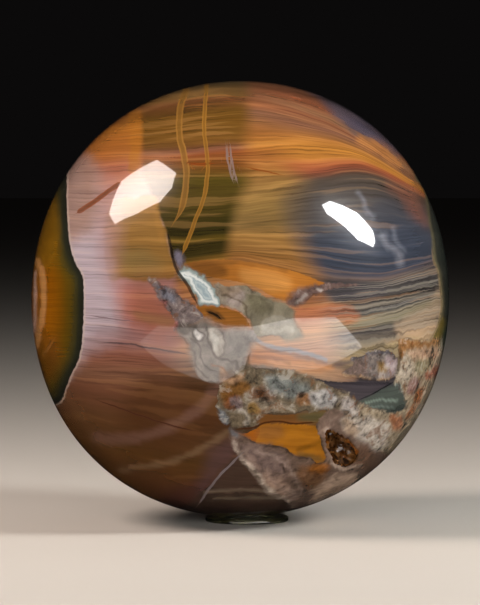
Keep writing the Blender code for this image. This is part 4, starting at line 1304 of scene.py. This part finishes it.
for name, distance, radiance, colour, spots in SOFT_BOXES:
    rays = [reflected(*spot[:2]) for spot in spots]
    facing_way = sum((way for _, way in rays), Vector()).normalized()
    panel_middle = middle + facing_way * distance
    panel_corners = []
    for point, way in rays:
        reach = (panel_middle - point).dot(facing_way) / way.dot(facing_way)
        panel_corners.append(point + way * reach)
    panel_corners.append(sum(panel_corners, Vector()) / len(spots))
    fan = [(number, (number + 1) % len(spots), len(spots)) for number in range(len(spots))]
    panel_mesh = bpy.data.meshes.new(name)
    panel_mesh.from_pydata([tuple(corner) for corner in panel_corners], [], fan)
    keep(panel_mesh, "share", [share for _, _, share in spots] + [1.0])
    glow, tree = empty_material(name + "_light")
    share = add(tree, "ShaderNodeAttribute", output="Fac", attribute_name="share")
    strength = add(tree, MATH, (share, radiance), operation="MULTIPLY")
    light = add(tree, "ShaderNodeEmission", {"Color": shade(colour), "Strength": strength})
    add(tree, "ShaderNodeOutputMaterial", {"Surface": light})
    panel_mesh.materials.append(glow)
    panel = bpy.data.objects.new(name, panel_mesh)
    panel.visible_camera = False
    bpy.context.scene.collection.objects.link(panel)

# Two large diffusers fill the shadows. They are hidden from the polish, as a dulled panel is.
for name, way, distance, width, height, power in (
    ("front_diffuser", (-0.12, -1.0, 0.2), 1.3, 1.2, 0.5, 8.0),
    ("top_diffuser", (0.1, 0.3, 1.0), 1.2, 1.0, 1.0, 1.0),
):
    lamp = bpy.data.lights.new(name, "AREA")
    lamp.shape = "RECTANGLE"
    lamp.size = width
    lamp.size_y = height
    lamp.energy = power
    holder = bpy.data.objects.new(name, lamp)
    holder.location = middle + Vector(way).normalized() * distance
    holder.rotation_euler = Vector(way).to_track_quat("Z", "Y").to_euler()
    holder.visible_glossy = False
    holder.visible_camera = False
    bpy.context.scene.collection.objects.link(holder)

world = bpy.data.worlds.new("dim_room")
bpy.context.scene.world = world
world.use_nodes = True
world.node_tree.nodes["Background"].inputs["Color"].default_value = shade("#0b0a0a")
world.node_tree.nodes["Background"].inputs["Strength"].default_value = 1.0

# The camera stands at the photograph's viewpoint.
IMAGE_WIDTH, IMAGE_HEIGHT = 480, 605
STONE_IN_IMAGE = (240.3, 299.0)
lens = bpy.data.cameras.new("long_lens")
lens.lens = LENS_MM
lens.sensor_width = SENSOR_MM
lens.shift_x = (IMAGE_WIDTH / 2 - STONE_IN_IMAGE[0]) / IMAGE_HEIGHT
lens.shift_y = (STONE_IN_IMAGE[1] - IMAGE_HEIGHT / 2) / IMAGE_HEIGHT
lens.clip_start = 0.01
camera = bpy.data.objects.new("camera", lens)
camera.location = middle + Vector(toward_viewer) * VIEW_DISTANCE_MM / MM_PER_M
camera.rotation_euler = (math.pi / 2 - VIEW_ELEVATION, 0, 0)
bpy.context.scene.collection.objects.link(camera)
bpy.context.scene.camera = camera
bpy.context.scene.view_settings.view_transform = "Standard"
